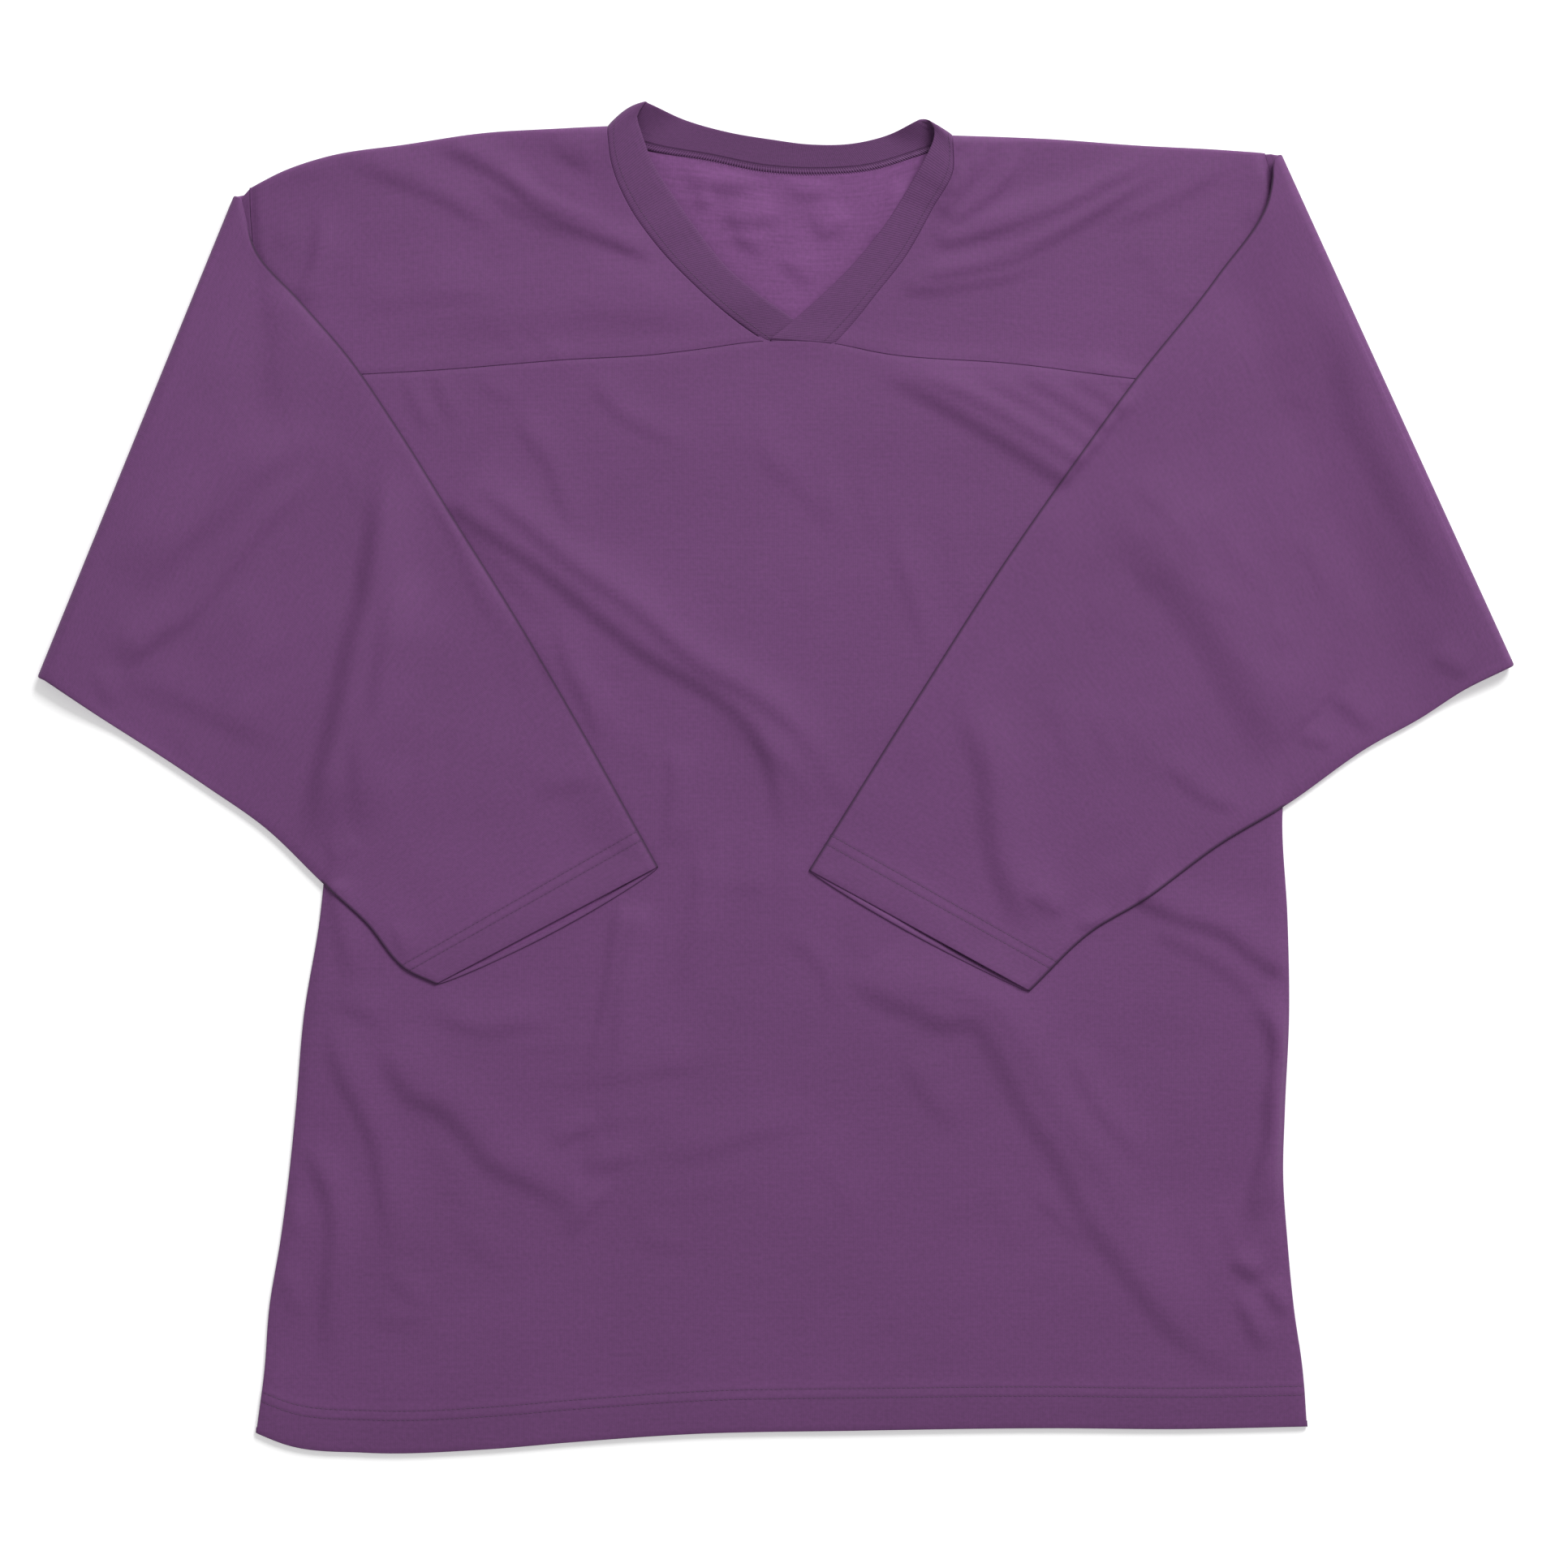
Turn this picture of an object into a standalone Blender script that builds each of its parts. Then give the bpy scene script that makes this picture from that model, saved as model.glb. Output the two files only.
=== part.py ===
"""Practice hockey jersey, laid flat on its back with both sleeves folded across the front.

The jersey lies on the table in millimetres below and in metres once built: hem towards -Y, neck
towards +Y, viewer's right at +X, table at Z = 0. Four layers of cloth lie on each other at most:
the back, the front, and the two layers of a sleeve that is turned back over the front.
Every piece is a wall of cloth with an outer and an inner side, worked out from the edges where the
piece is cut and from the height of the layer that it lies in.
"""

import math
from collections import namedtuple

import bpy
import numpy as np

MM = 0.001

# --- Cloth and layers, millimetres ---------------------------------------------------------------
CLOTH = 1.2              # wall of one layer
AIR = 0.4                # between two layers that lie on each other
SEAM = 0.35              # between two pieces along a seam
ARM_SEAM = 0.5           # along the curved armholes
PAIR = 2 * CLOTH + AIR   # two layers pressed flat
PUFF = 1.1               # air that lifts the front between its edges
COVERED_PUFF = 0.8       # what is left of it under a sleeve
SHOULDER_RISE = 0.8      # the fold over the shoulders stands this much higher
SHOULDER_RUN = 30.0
NECK_RISE = 5.5          # the neck points stand up
NECK_REACH = 42.0
EDGE_FADE = 24.0         # folds and air die out this far from a side seam or the hem
HEM_SHARE = 0.25         # a share of them reaches the hem
COVER_MARGIN = 36.0      # the front is pressed flat from this far outside a sleeve that covers it
COVER_RUN = 14.0

# --- Hems and neckband ---------------------------------------------------------------------------
HEM_DEPTH = 25.0
CUFF_DEPTH = 22.0
TURNED_UP = 0.6          # extra wall where the cloth is turned up
STEP = 4.0               # run of the step at the top of a turned-up hem
BAND_WALL = 1.8          # rib folded double
BAND_BACK_RISE = 6.0     # the free edge of the back of the neckband leans up by this much
BAND_ACROSS = (0.0, 0.5, 1.0)   # shares of its width
LAP = (0.15, 0.6, 1.0, 1.0)   # how far the right end lifts over the left one, station by station

# --- Sleeve turned back over the front -------------------------------------------------------------
FOLD_AXIS = 5.0          # height of the bend's axis, also its outer radius
SETTLE = 3.0             # the layers sink onto the front by this much away from the bend
SETTLE_RUN = 60.0
EDGE_ROUND = 1.4         # half-round where the two layers of a sleeve join
EDGE_DEPTH = 0.8         # and this share of the wall more on its inner side
EDGE_CALM = 0.12         # folds die out over this share of the sleeve's width at each edge
CUFF_PEEK = 5.0          # the under layer shows this far past the upper one in the middle of the cuff
PEEK_RUN = 70.0

# --- Grid ------------------------------------------------------------------------------------------
WING_COLUMNS = 14
V_COLUMNS = 2
NECK_COLUMNS = 9
WING_ROWS = 8
BEND_ROWS = 5
YOKE_BACK_ROWS = 5
PANEL_ROWS = 24
BACK_COLUMNS = 10
SLEEVE_ACROSS = 12
FAN_ROWS = 3
SLEEVE_ROWS = 12

PURPLE = (0.162, 0.065, 0.178, 1.0)
PURPLE_BAND = (0.140, 0.056, 0.158, 1.0)
MATT = 0.85              # roughness
SHARP = math.radians(40)


def table(columns, *rows):
    """Short table with named columns; each column comes back as an array."""
    return namedtuple("Table", columns)(*np.array(rows, float).T)


# --- Outline of the body: side seams up to the underarm at y = 34, armholes above it ---------------
BODY = table(
    "y left right",
    (-386, -307.5, 314.5),
    (-351, -303.0, 312.0),
    (-313, -300.0, 306.7),
    (-274, -293.5, 303.0),
    (-236, -288.5, 300.5),
    (-197, -284.5, 301.5),
    (-140, -279.5, 304.0),
    (-82, -270.0, 303.0),
    (-25, -265.5, 300.0),
    (34, -265.0, 304.5),
    (124, -278.0, 311.0),
    (200, -292.0, 313.0),
    (260, -302.0, 311.0),
    (300, -308.0, 306.0),
    (331, -311.0, 300.0),
    (369, -312.0, 289.5),
)
UNDERARM_Y = 34.0
HEM = table(
    "x y",
    (-307.5, -388), (-291, -394.5), (-243, -399.5), (-171, -397.5), (-123, -393.5),
    (-51, -388.5), (45, -386.5), (165, -385), (237, -385.5), (314.5, -384),
)
FRONT_SEAM = table(
    "x y",
    (-298, 235.5), (-243, 239), (-199, 241.5), (-123, 247.5), (-72, 250.5), (-47, 253.5),
    (-7, 258.5), (34.5, 257), (62, 251.5), (141, 245), (213.5, 236), (312.5, 228),
)
BACK_SEAM = table("x y", (-298, 238), (-150, 243), (0, 245), (150, 243), (312.5, 236))
SHOULDER_LEFT = table(
    "x y",
    (-311, 349.5), (-291, 359.5), (-267, 367.5), (-219, 375), (-171, 382), (-123, 384.5),
    (-99.5, 385.5),
)
SHOULDER_RIGHT = table(
    "x y", (104.5, 380), (165, 378), (213, 374.5), (261, 372), (289.5, 370),
)

# --- Neck: the seam where the band is sewn on, and the band's free edge -----------------------------
NECK_SEAM_LEFT = table(
    "x y",
    (-7, 258.5), (-22, 269), (-47, 290.5), (-72.5, 318), (-87, 339.5), (-97.5, 366.5), (-99.5, 384),
)
NECK_SEAM_RIGHT = table(
    "x y",
    (34.5, 257), (45.5, 269), (59, 286), (76, 308), (92.5, 338), (104.5, 361.5), (104.5, 379.5),
)
NECK_SEAM_BACK = table(
    "x y",
    (-99.5, 384), (-72.5, 372.5), (-39, 365), (-5, 357.5), (29, 356), (54, 358.5), (79, 368.5),
    (104.5, 379.5),
)
FREE_LEFT = table(
    "x y",
    (26, 259), (11, 271.5), (-7, 284), (-29, 302.5), (-47, 325), (-60.5, 345), (-74, 366.5),
    (-77.5, 398.5),
)
FREE_RIGHT = table(
    "x y",
    (-3, 260), (11, 271.5), (29, 287.5), (45.5, 304), (62.5, 324.5), (79, 349.5), (88, 372),
    (87, 389),
)
FREE_BACK = table(
    "x y",
    (-77.5, 398.5), (-51, 388.5), (-27, 382), (-3, 378), (21, 375), (45, 375.5), (69, 381.5),
    (87, 389),
)

# --- Sleeves: the bend's outer edge, and the edges of the part that is turned back -------------------
Sleeve = namedtuple("Sleeve", "bend over_arm under_arm")
LEFT_SLEEVE = Sleeve(
    bend=table("x y", (-320.5, 344.5), (-436.8, 59.5)),
    over_arm=table(
        "x y",
        (-307, 312), (-281.5, 282.5), (-252.5, 249), (-226, 210.5), (-190, 153), (-151.5, 91.5),
        (-113, 25.5), (-69.5, -52.5),
    ),
    under_arm=table(
        "x y",
        (-395.5, 33), (-365, 13.5), (-336.5, -5.5), (-303, -29), (-267.5, -63), (-243, -85.5),
        (-219, -113.5), (-201, -122),
    ),
)
RIGHT_SLEEVE = Sleeve(
    bend=table("x y", (299, 369), (436.8, 66.5)),
    over_arm=table(
        "x y",
        (291, 343), (261, 297), (213, 236.5), (174.5, 184), (136, 129), (83.5, 47.5), (19.5, -54.5),
    ),
    under_arm=table(
        "x y",
        (408, 52.5), (381, 35), (352, 19), (300.5, -17), (265, -38), (214.5, -74.5), (189, -89.5),
        (150, -126),
    ),
)

# --- The largest folds: a soft ridge along the line from (x0, y0) to (x1, y1) ------------------------
FRONT_FOLDS = table(
    "x0 y0 x1 y1 rise half_width",
    (-168, 160, 8, 14, 3.4, 17),
    (10, 12, 14, -70, 1.8, 17),
    (62, 238, 158, 196, 2.8, 16),
    (118, 243, 186, 218, 1.6, 13),
    (60, -134, 150, -200, 2.4, 19),
    (150, -200, 262, -342, 2.9, 18),
    (208, -72, 292, -106, 2.4, 15),
    (-252, -140, -226, -262, 2.6, 16),
    (-232, -166, -120, -244, 2.8, 17),
    (-276, -205, -264, -310, 2.0, 14),
    (-94, -84, -106, -190, 1.8, 14),
    (-118, -222, 10, -206, 1.7, 16),
    (-196, 372, -85, 322, 2.0, 14),
    (240, 366, 108, 320, 2.4, 14),
    (-230, 345, -140, 305, 1.4, 18),
    (-60, 210, 0, 175, 1.2, 18),
)
SLEEVE_FOLDS = table(
    "x0 y0 x1 y1 rise half_width",
    (-240, 178, -272, -10, 2.8, 17),
    (-285, 180, -385, 78, 2.2, 20),
    (-226, 90, -250, -40, 1.6, 15),
    (235, 120, 292, 10, 2.4, 20),
    (190, 160, 235, 120, 1.6, 20),
    (116, 20, 148, -82, 2.2, 15),
)


def through(knots, values, at):
    """Smooth curve through a table's rows: cubic pieces that share their slope at each row."""
    slope = np.gradient(values, knots)
    cell = np.clip(np.searchsorted(knots, at) - 1, 0, len(knots) - 2)
    span = knots[cell + 1] - knots[cell]
    t = np.clip((at - knots[cell]) / span, 0.0, 1.0)
    start = (1 + 2 * t) * (1 - t) ** 2 * values[cell] + t * (1 - t) ** 2 * span * slope[cell]
    end = t * t * (3 - 2 * t) * values[cell + 1] - t * t * (1 - t) * span * slope[cell + 1]
    return start + end


def along(edge, fraction):
    """Points on an edge at the given shares of its length, as rows of x and y."""
    steps = np.hypot(np.diff(edge.x), np.diff(edge.y))
    knots = np.concatenate([[0.0], np.cumsum(steps)])
    at = np.asarray(fraction) * knots[-1]
    return np.stack([through(knots, edge.x, at), through(knots, edge.y, at)], axis=-1)


def soft(value):
    """Smooth step from 0 to 1."""
    t = np.clip(value, 0.0, 1.0)
    return t * t * (3 - 2 * t)


def side(column, y):
    """Body outline on one side at height y up the body."""
    return through(BODY.y, getattr(BODY, column), y)


def body_edge(column, low_y, high_y, up):
    """Points on one side of the body between two heights, at the given shares of the way up."""
    y = low_y + up * (high_y - low_y)
    return np.stack([side(column, y), y], axis=1)


def patch(low, high, start, end, across, up):
    """Surface between four edges: low and high run across, start and end run up."""
    u, v = across[None, :, None], up[:, None, None]
    ruled = (1 - v) * low[None] + v * high[None] + (1 - u) * start[:, None] + u * end[:, None]
    corners = (1 - v) * ((1 - u) * low[0] + u * low[-1]) + v * ((1 - u) * high[0] + u * high[-1])
    return ruled - corners


def to_segment(x, y, x0, y0, x1, y1):
    """Distance from points to a straight line between two ends."""
    length = math.hypot(x1 - x0, y1 - y0)
    dx, dy = (x1 - x0) / length, (y1 - y0) / length
    run = np.clip((x - x0) * dx + (y - y0) * dy, 0.0, length)
    return np.hypot(x - x0 - run * dx, y - y0 - run * dy)


def folds(rows, x, y):
    """Height that the folds of a table add: a soft ridge along each line, round at its ends."""
    total = np.zeros_like(x)
    for x0, y0, x1, y1, rise, half_width in zip(*rows):
        total += rise * np.exp(-((to_segment(x, y, x0, y0, x1, y1) / half_width) ** 2))
    return total


def covered(x, y):
    """1 under a turned-back sleeve, 0 clear of it: by the distance inside its four corners."""
    most = np.zeros_like(x)
    for sleeve, hand in ((LEFT_SLEEVE, 1.0), (RIGHT_SLEEVE, -1.0)):
        corners = (
            (sleeve.bend.x[0], sleeve.bend.y[0]),
            (sleeve.over_arm.x[-1], sleeve.over_arm.y[-1]),
            (sleeve.under_arm.x[-1], sleeve.under_arm.y[-1]),
            (sleeve.bend.x[-1], sleeve.bend.y[-1]),
        )
        inside = np.full_like(x, np.inf)
        for (x0, y0), (x1, y1) in zip(corners, corners[1:]):
            length = math.hypot(x1 - x0, y1 - y0)
            turn = ((x - x0) * (y1 - y0) - (y - y0) * (x1 - x0)) * hand / length
            inside = np.minimum(inside, turn)
        most = np.maximum(most, soft((inside + COVER_MARGIN) / COVER_RUN))
    return most


def near_neck_point(x, y, shoulder, index):
    """1 at the neck end of a shoulder line, dying out round it."""
    away = np.hypot(x - shoulder.x[index], y - shoulder.y[index])
    return np.exp(-((away / NECK_REACH) ** 2))


def front_top(x, y):
    """Height of the front's outer side above the table, yoke wings included."""
    from_side = np.minimum(x - side("left", y), side("right", y) - x)
    from_hem = y - through(HEM.x, HEM.y, x)
    fade = soft(from_side / EDGE_FADE) * soft(HEM_SHARE + from_hem / EDGE_FADE)
    top_line = np.where(x < 0, through(SHOULDER_LEFT.x, SHOULDER_LEFT.y, x),
                        through(SHOULDER_RIGHT.x, SHOULDER_RIGHT.y, x))
    shoulder = SHOULDER_RISE * soft(1 - (top_line - y) / SHOULDER_RUN)
    neck = near_neck_point(x, y, SHOULDER_LEFT, -1) + near_neck_point(x, y, SHOULDER_RIGHT, 0)
    hidden = covered(x, y)
    free = PUFF + folds(FRONT_FOLDS, x, y) + shoulder
    return PAIR + fade * (hidden * COVERED_PUFF + (1 - hidden) * free + NECK_RISE * neck)


def turned_up(distance, depth):
    """Share of the extra wall at a distance from the hem's edge."""
    return 1 - soft((distance - depth + STEP) / STEP)


def wall(name, outer, inner, colour, keep=None, ring=False):
    """Closed solid from the outer and inner side of one piece.

    outer and inner are grids of points, rows by columns. keep says which cells have cloth, and a
    ring's last column meets its first. Every free edge gets a narrow rim from side to side.
    """
    rows, columns = outer.shape[:2]
    number = np.arange(rows * columns).reshape(rows, columns)
    if ring:
        number = np.concatenate([number, number[:, :1]], axis=1)
    quads = np.stack([number[:-1, :-1], number[:-1, 1:], number[1:, 1:], number[1:, :-1]], axis=-1)
    quads = quads.reshape(-1, 4) if keep is None else quads[keep]
    edges = np.concatenate([quads[:, [k, (k + 1) % 4]] for k in range(4)])
    paired = set(map(tuple, edges[:, ::-1].tolist()))
    rim = [(a, b) for a, b in edges.tolist() if (a, b) not in paired]
    inside = rows * columns
    faces = [tri for a, b, c, d in quads.tolist() for tri in ((a, b, c), (a, c, d))]
    faces += [(a + inside, c + inside, b + inside) for a, b, c in faces]
    faces += [tri for a, b in rim for tri in ((b, a, a + inside), (b, a + inside, b + inside))]
    points = np.concatenate([outer.reshape(-1, 3), inner.reshape(-1, 3)]) * MM
    used = sorted({index for face in faces for index in face})
    place = {index: row for row, index in enumerate(used)}
    mesh = bpy.data.meshes.new(name)
    mesh.from_pydata(points[used].tolist(), [], [[place[index] for index in face] for face in faces])
    mesh.validate()
    mesh.shade_smooth()
    mesh.set_sharp_from_angle(angle=SHARP)
    mesh.materials.append(cloth(name, colour))
    bpy.context.scene.collection.objects.link(bpy.data.objects.new(name, mesh))


def cloth(name, colour):
    """Matt knitted cloth in one colour."""
    material = bpy.data.materials.new(name + "_cloth")
    material.use_nodes = True
    shader = material.node_tree.nodes["Principled BSDF"]
    shader.inputs["Base Color"].default_value = colour
    shader.inputs["Roughness"].default_value = MATT
    shader.inputs["Metallic"].default_value = 0.0
    return material


def stand(plan, height):
    """Points from a plan and a height over it."""
    return np.concatenate([plan, np.broadcast_to(height, plan.shape[:2])[..., None]], axis=2)


def seam_columns():
    """Where the columns of the front meet the yoke: left wing, tip of the V, right wing."""
    left = np.linspace(FRONT_SEAM.x[0], NECK_SEAM_LEFT.x[0], WING_COLUMNS + 1)
    tip = np.linspace(NECK_SEAM_LEFT.x[0], NECK_SEAM_RIGHT.x[0], V_COLUMNS + 1)
    right = np.linspace(NECK_SEAM_RIGHT.x[0], FRONT_SEAM.x[-1], WING_COLUMNS + 1)
    return left, tip, right


def panel_plan(seam, seam_x, seam_drop):
    """Plan of a body panel from the hem up to its yoke seam, with two rows for the turned-up hem."""
    across = (seam_x - seam_x[0]) / (seam_x[-1] - seam_x[0])
    rise = seam.y[0] - HEM.y[0]
    hem_rows = [0.0, (HEM_DEPTH - STEP) / rise]
    up = np.concatenate([hem_rows, np.linspace(HEM_DEPTH / rise, 1.0, PANEL_ROWS)])
    hem_x = HEM.x[0] + across * (HEM.x[-1] - HEM.x[0])
    low = np.stack([hem_x, through(HEM.x, HEM.y, hem_x)], axis=1)
    high = np.stack([seam_x, through(seam.x, seam.y, seam_x) - seam_drop], axis=1)
    start, end = (body_edge(column, low[index, 1], high[index, 1], up)
                  for column, index in (("left", 0), ("right", -1)))
    low[0], low[-1], high[0], high[-1] = start[0], end[0], start[-1], end[-1]
    return patch(low, high, start, end, across, up)


def front_panel():
    """Front from the hem to the yoke seam, with the tip of the V in its top edge."""
    left, tip, right = seam_columns()
    plan = panel_plan(FRONT_SEAM, np.concatenate([left, tip[1:], right[1:]]), 0.0)
    top = front_top(plan[..., 0], plan[..., 1])
    from_hem = plan[..., 1] - through(HEM.x, HEM.y, plan[..., 0])
    hem = TURNED_UP * turned_up(from_hem, HEM_DEPTH)
    wall("front_panel", stand(plan, top + hem), stand(plan, top - CLOTH), PURPLE)


def back_panel():
    """Back from the hem to the yoke's back seam, flat on the table."""
    seam_x = np.linspace(BACK_SEAM.x[0], BACK_SEAM.x[-1], BACK_COLUMNS + 1)
    plan = panel_plan(BACK_SEAM, seam_x, SEAM)
    bottom, top = stand(plan, 0.0), stand(plan, CLOTH)
    wall("back_panel", bottom[:, ::-1], top[:, ::-1], PURPLE)


def wing(seam_x, shoulder, neck_seam, column):
    """Plan of one front wing of the yoke, from the front seam up to where the shoulder bends over.

    Also gives the outer radius of the bend at each column.
    """
    across = (seam_x - seam_x[0]) / (seam_x[-1] - seam_x[0])
    up = np.linspace(0.0, 1.0, WING_ROWS + 1)
    low = np.stack([seam_x, through(FRONT_SEAM.x, FRONT_SEAM.y, seam_x) + SEAM], axis=1)
    high = along(shoulder, across)
    radius = front_top(high[:, 0], high[:, 1]) / 2
    high[:, 1] -= radius
    arm_end, neck_end = (0, -1) if column == "left" else (-1, 0)
    arm = body_edge(column, low[arm_end, 1], high[arm_end, 1], up)
    neck = along(neck_seam, up)
    low[arm_end], high[arm_end] = arm[0], arm[-1]
    neck[0], neck[-1] = low[neck_end], high[neck_end]
    start, end = (arm, neck) if column == "left" else (neck, arm)
    return patch(low, high, start, end, across, up), radius


def bend(edge, radius, depth):
    """Rows round the shoulder's fold, from the front's outer side at the top to the back's."""
    angle = np.linspace(0.0, math.pi, BEND_ROWS + 1)[1:-1, None]
    reach = radius[None] - depth
    x = np.broadcast_to(edge[None, :, 0], (len(angle), len(radius)))
    y = edge[None, :, 1] + reach * np.sin(angle)
    z = radius[None] + reach * np.cos(angle)
    return np.stack([x, y, z], axis=2)


def yoke_sides():
    """Yoke over both shoulders: outer points, inner points and the cells that have cloth.

    The rows run up the front wings, round the bend and down the back. Between the neck points only
    the back has cloth.
    """
    left_x, _, right_x = seam_columns()
    left, left_radius = wing(left_x, SHOULDER_LEFT, NECK_SEAM_LEFT, "left")
    right, right_radius = wing(right_x, SHOULDER_RIGHT, NECK_SEAM_RIGHT, "right")
    neck = along(NECK_SEAM_BACK, np.linspace(0.0, 1.0, NECK_COLUMNS + 1))
    neck[0], neck[-1] = left[-1, -1], right[-1, 0]
    top = np.concatenate([left[-1], neck[1:-1], right[-1]])
    radius = np.concatenate([left_radius, np.full(NECK_COLUMNS - 1, CLOTH), right_radius])
    across = (top[:, 0] - top[0, 0]) / (top[-1, 0] - top[0, 0])
    down = np.linspace(0.0, 1.0, YOKE_BACK_ROWS + 1)
    seam_x = BACK_SEAM.x[0] + across * (BACK_SEAM.x[-1] - BACK_SEAM.x[0])
    seam = np.stack([seam_x, through(BACK_SEAM.x, BACK_SEAM.y, seam_x)], axis=1)
    sides = []
    for column, index in (("left", 0), ("right", -1)):
        edge = body_edge(column, top[index, 1], seam[index, 1], down)
        top[index], seam[index] = edge[0], edge[-1]
        sides.append(edge)
    behind = patch(top, seam, sides[0], sides[1], across, down)
    filler = np.repeat(neck[None, 1:-1], WING_ROWS + 1, axis=0)
    before = np.concatenate([left, filler, right], axis=1)
    height = front_top(before[..., 0], before[..., 1])
    height[-1] = 2 * radius
    outer, inner = (
        np.concatenate([stand(before, height - depth), bend(top, radius, depth), stand(behind, depth)])
        for depth in (0.0, CLOTH)
    )
    keep = np.ones((len(outer) - 1, len(top) - 1), bool)
    keep[:WING_ROWS + BEND_ROWS, WING_COLUMNS:WING_COLUMNS + NECK_COLUMNS] = False
    return outer, inner, keep


def band_seam(yoke_outer):
    """Where the band is sewn on: up the left side of the V, over the back and down the right."""
    legs, left, right = WING_ROWS + BEND_ROWS, WING_COLUMNS, WING_COLUMNS + NECK_COLUMNS
    return np.concatenate([
        yoke_outer[:legs, left], yoke_outer[legs, left:right + 1], yoke_outer[legs - 1::-1, right],
    ])


def band_reach(seam):
    """Plan vector from the seam to the free edge, station by station; it is the same round a bend."""
    front = np.linspace(0.0, 1.0, WING_ROWS + 1)
    legs = WING_ROWS + BEND_ROWS
    left = along(FREE_LEFT, front) - seam[:WING_ROWS + 1, :2]
    right = along(FREE_RIGHT, front)[::-1] - seam[-WING_ROWS - 1:, :2]
    left[-1, 1] -= seam[WING_ROWS, 2] / 2
    right[0, 1] -= seam[-WING_ROWS - 1, 2] / 2
    back = along(FREE_BACK, np.linspace(0.0, 1.0, NECK_COLUMNS + 1))[1:-1]
    back -= seam[legs + 1:-legs - 1, :2]
    return np.concatenate([
        left, np.repeat(left[-1:], BEND_ROWS, axis=0), back,
        np.repeat(right[:1], BEND_ROWS, axis=0), right,
    ])


def neckband(yoke_outer):
    """Rib band round the neck, a flat strip from its seam to its free edge.

    turn says how far each station has gone over the shoulder, 0 in front and pi behind. The right
    end lies on the left one at the tip of the V.
    """
    seam = band_seam(yoke_outer)
    reach = band_reach(seam)
    over = np.linspace(0.0, math.pi, BEND_ROWS + 1)
    behind = np.full(NECK_COLUMNS + 1, math.pi)
    front = np.zeros(WING_ROWS)
    turn = np.concatenate([front, over[:-1], behind, over[-2::-1], front])
    out = np.stack([np.zeros_like(turn), np.sin(turn), np.cos(turn)], axis=1)
    proud = (BAND_WALL - CLOTH) * np.cos(turn / 2)[:, None]
    lap = np.zeros(len(turn))
    lap[-len(LAP):] = np.array(LAP) * (BAND_WALL + AIR)
    lean = np.zeros(len(turn))
    lean[turn == math.pi] = BAND_BACK_RISE * np.sqrt(np.sin(np.linspace(0.0, math.pi, len(behind))))
    length = np.hypot(*reach.T)[:, None]
    sides = []
    for depth in (0.0, BAND_WALL):
        lines = []
        for share in BAND_ACROSS:
            plan = seam[:, :2] + reach * (SEAM + share * (length - SEAM)) / length
            height = seam[:, 2] + lap + lean * share
            lines.append(np.column_stack([plan, height]) + out * (proud - depth))
        sides.append(np.stack(lines, axis=1))
    wall("neckband", sides[0], sides[1], PURPLE_BAND)


class SleeveForm:
    """Plan of one sleeve: its armhole, the line it bends along, and the part that is turned back.

    share runs from 0 at the upper edge to 1 at the underarm edge.
    """

    def __init__(self, cut, column):
        self.column = column
        self.hand = -1.0 if column == "left" else 1.0
        start, end = np.array([cut.bend.x, cut.bend.y]).T
        run = end - start
        self.out = self.hand * np.array([-run[1], run[0]]) / np.hypot(*run)
        self.top, self.low = start - self.out * FOLD_AXIS, end - self.out * FOLD_AXIS
        self.over_arm = table("x y", self.top, *zip(cut.over_arm.x, cut.over_arm.y))
        self.under_arm = table("x y", self.low, *zip(cut.under_arm.x, cut.under_arm.y))
        down = self.turned_back(0.5, 1.0) - self.axis(0.5)
        self.length = np.hypot(*down)
        self.down = down / self.length

    def axis(self, share):
        """Line that the sleeve bends along."""
        return self.top + np.multiply.outer(share, self.low - self.top)

    def fan(self, share, step):
        """Lines that fan out from the armhole, step 0, to the bend, step 1."""
        y = self.top[1] + np.asarray(share) * (UNDERARM_Y - self.top[1])
        arm = np.stack([side(self.column, y) + self.hand * ARM_SEAM, y], axis=-1)
        return arm + step * (self.axis(share) - arm)

    def turned_back(self, share, step):
        """Lines across the part that is turned back, from the bend, step 0, to the cuff, step 1."""
        over, under = along(self.over_arm, step), along(self.under_arm, step)
        return over + np.multiply.outer(share, under - over)

    def rows(self):
        """Each ring's plan, its angle round the bend, and its distance from the cuff."""
        hem = CUFF_DEPTH / self.length
        steps = np.linspace(0.0, 1.0 - hem, SLEEVE_ROWS).tolist() + [1 - hem + STEP / self.length, 1.0]
        rows = [(lambda share, step=step: self.fan(share, step), 0.0, self.length)
                for step in np.linspace(0.0, 1.0, FAN_ROWS + 1)]
        rows += [(self.axis, angle, self.length)
                 for angle in np.linspace(0.0, math.pi, BEND_ROWS + 1)[1:-1]]
        rows += [(lambda share, step=step: self.turned_back(share, step), math.pi,
                  (1 - step) * self.length) for step in steps]
        return rows


def ring(width, depth):
    """One ring of a flat tube of cloth: share across it, height in it, and 1 on its back layer.

    It runs along the back layer, round the underarm edge, along the front layer and round the
    upper edge, depth inside the outer side.
    """
    inset = (EDGE_ROUND + EDGE_DEPTH * depth) / width
    even = np.linspace(inset, 1 - inset, SLEEVE_ACROSS + 1)
    share = np.concatenate([even, [1 - depth / width], even[::-1], [depth / width]])
    counts = [len(even), 1, len(even), 1]
    level = np.repeat([depth, PAIR / 2, PAIR - depth, PAIR / 2], counts)
    return share, level, np.repeat([1.0, 0.0, 0.0, 0.0], counts)


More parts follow.
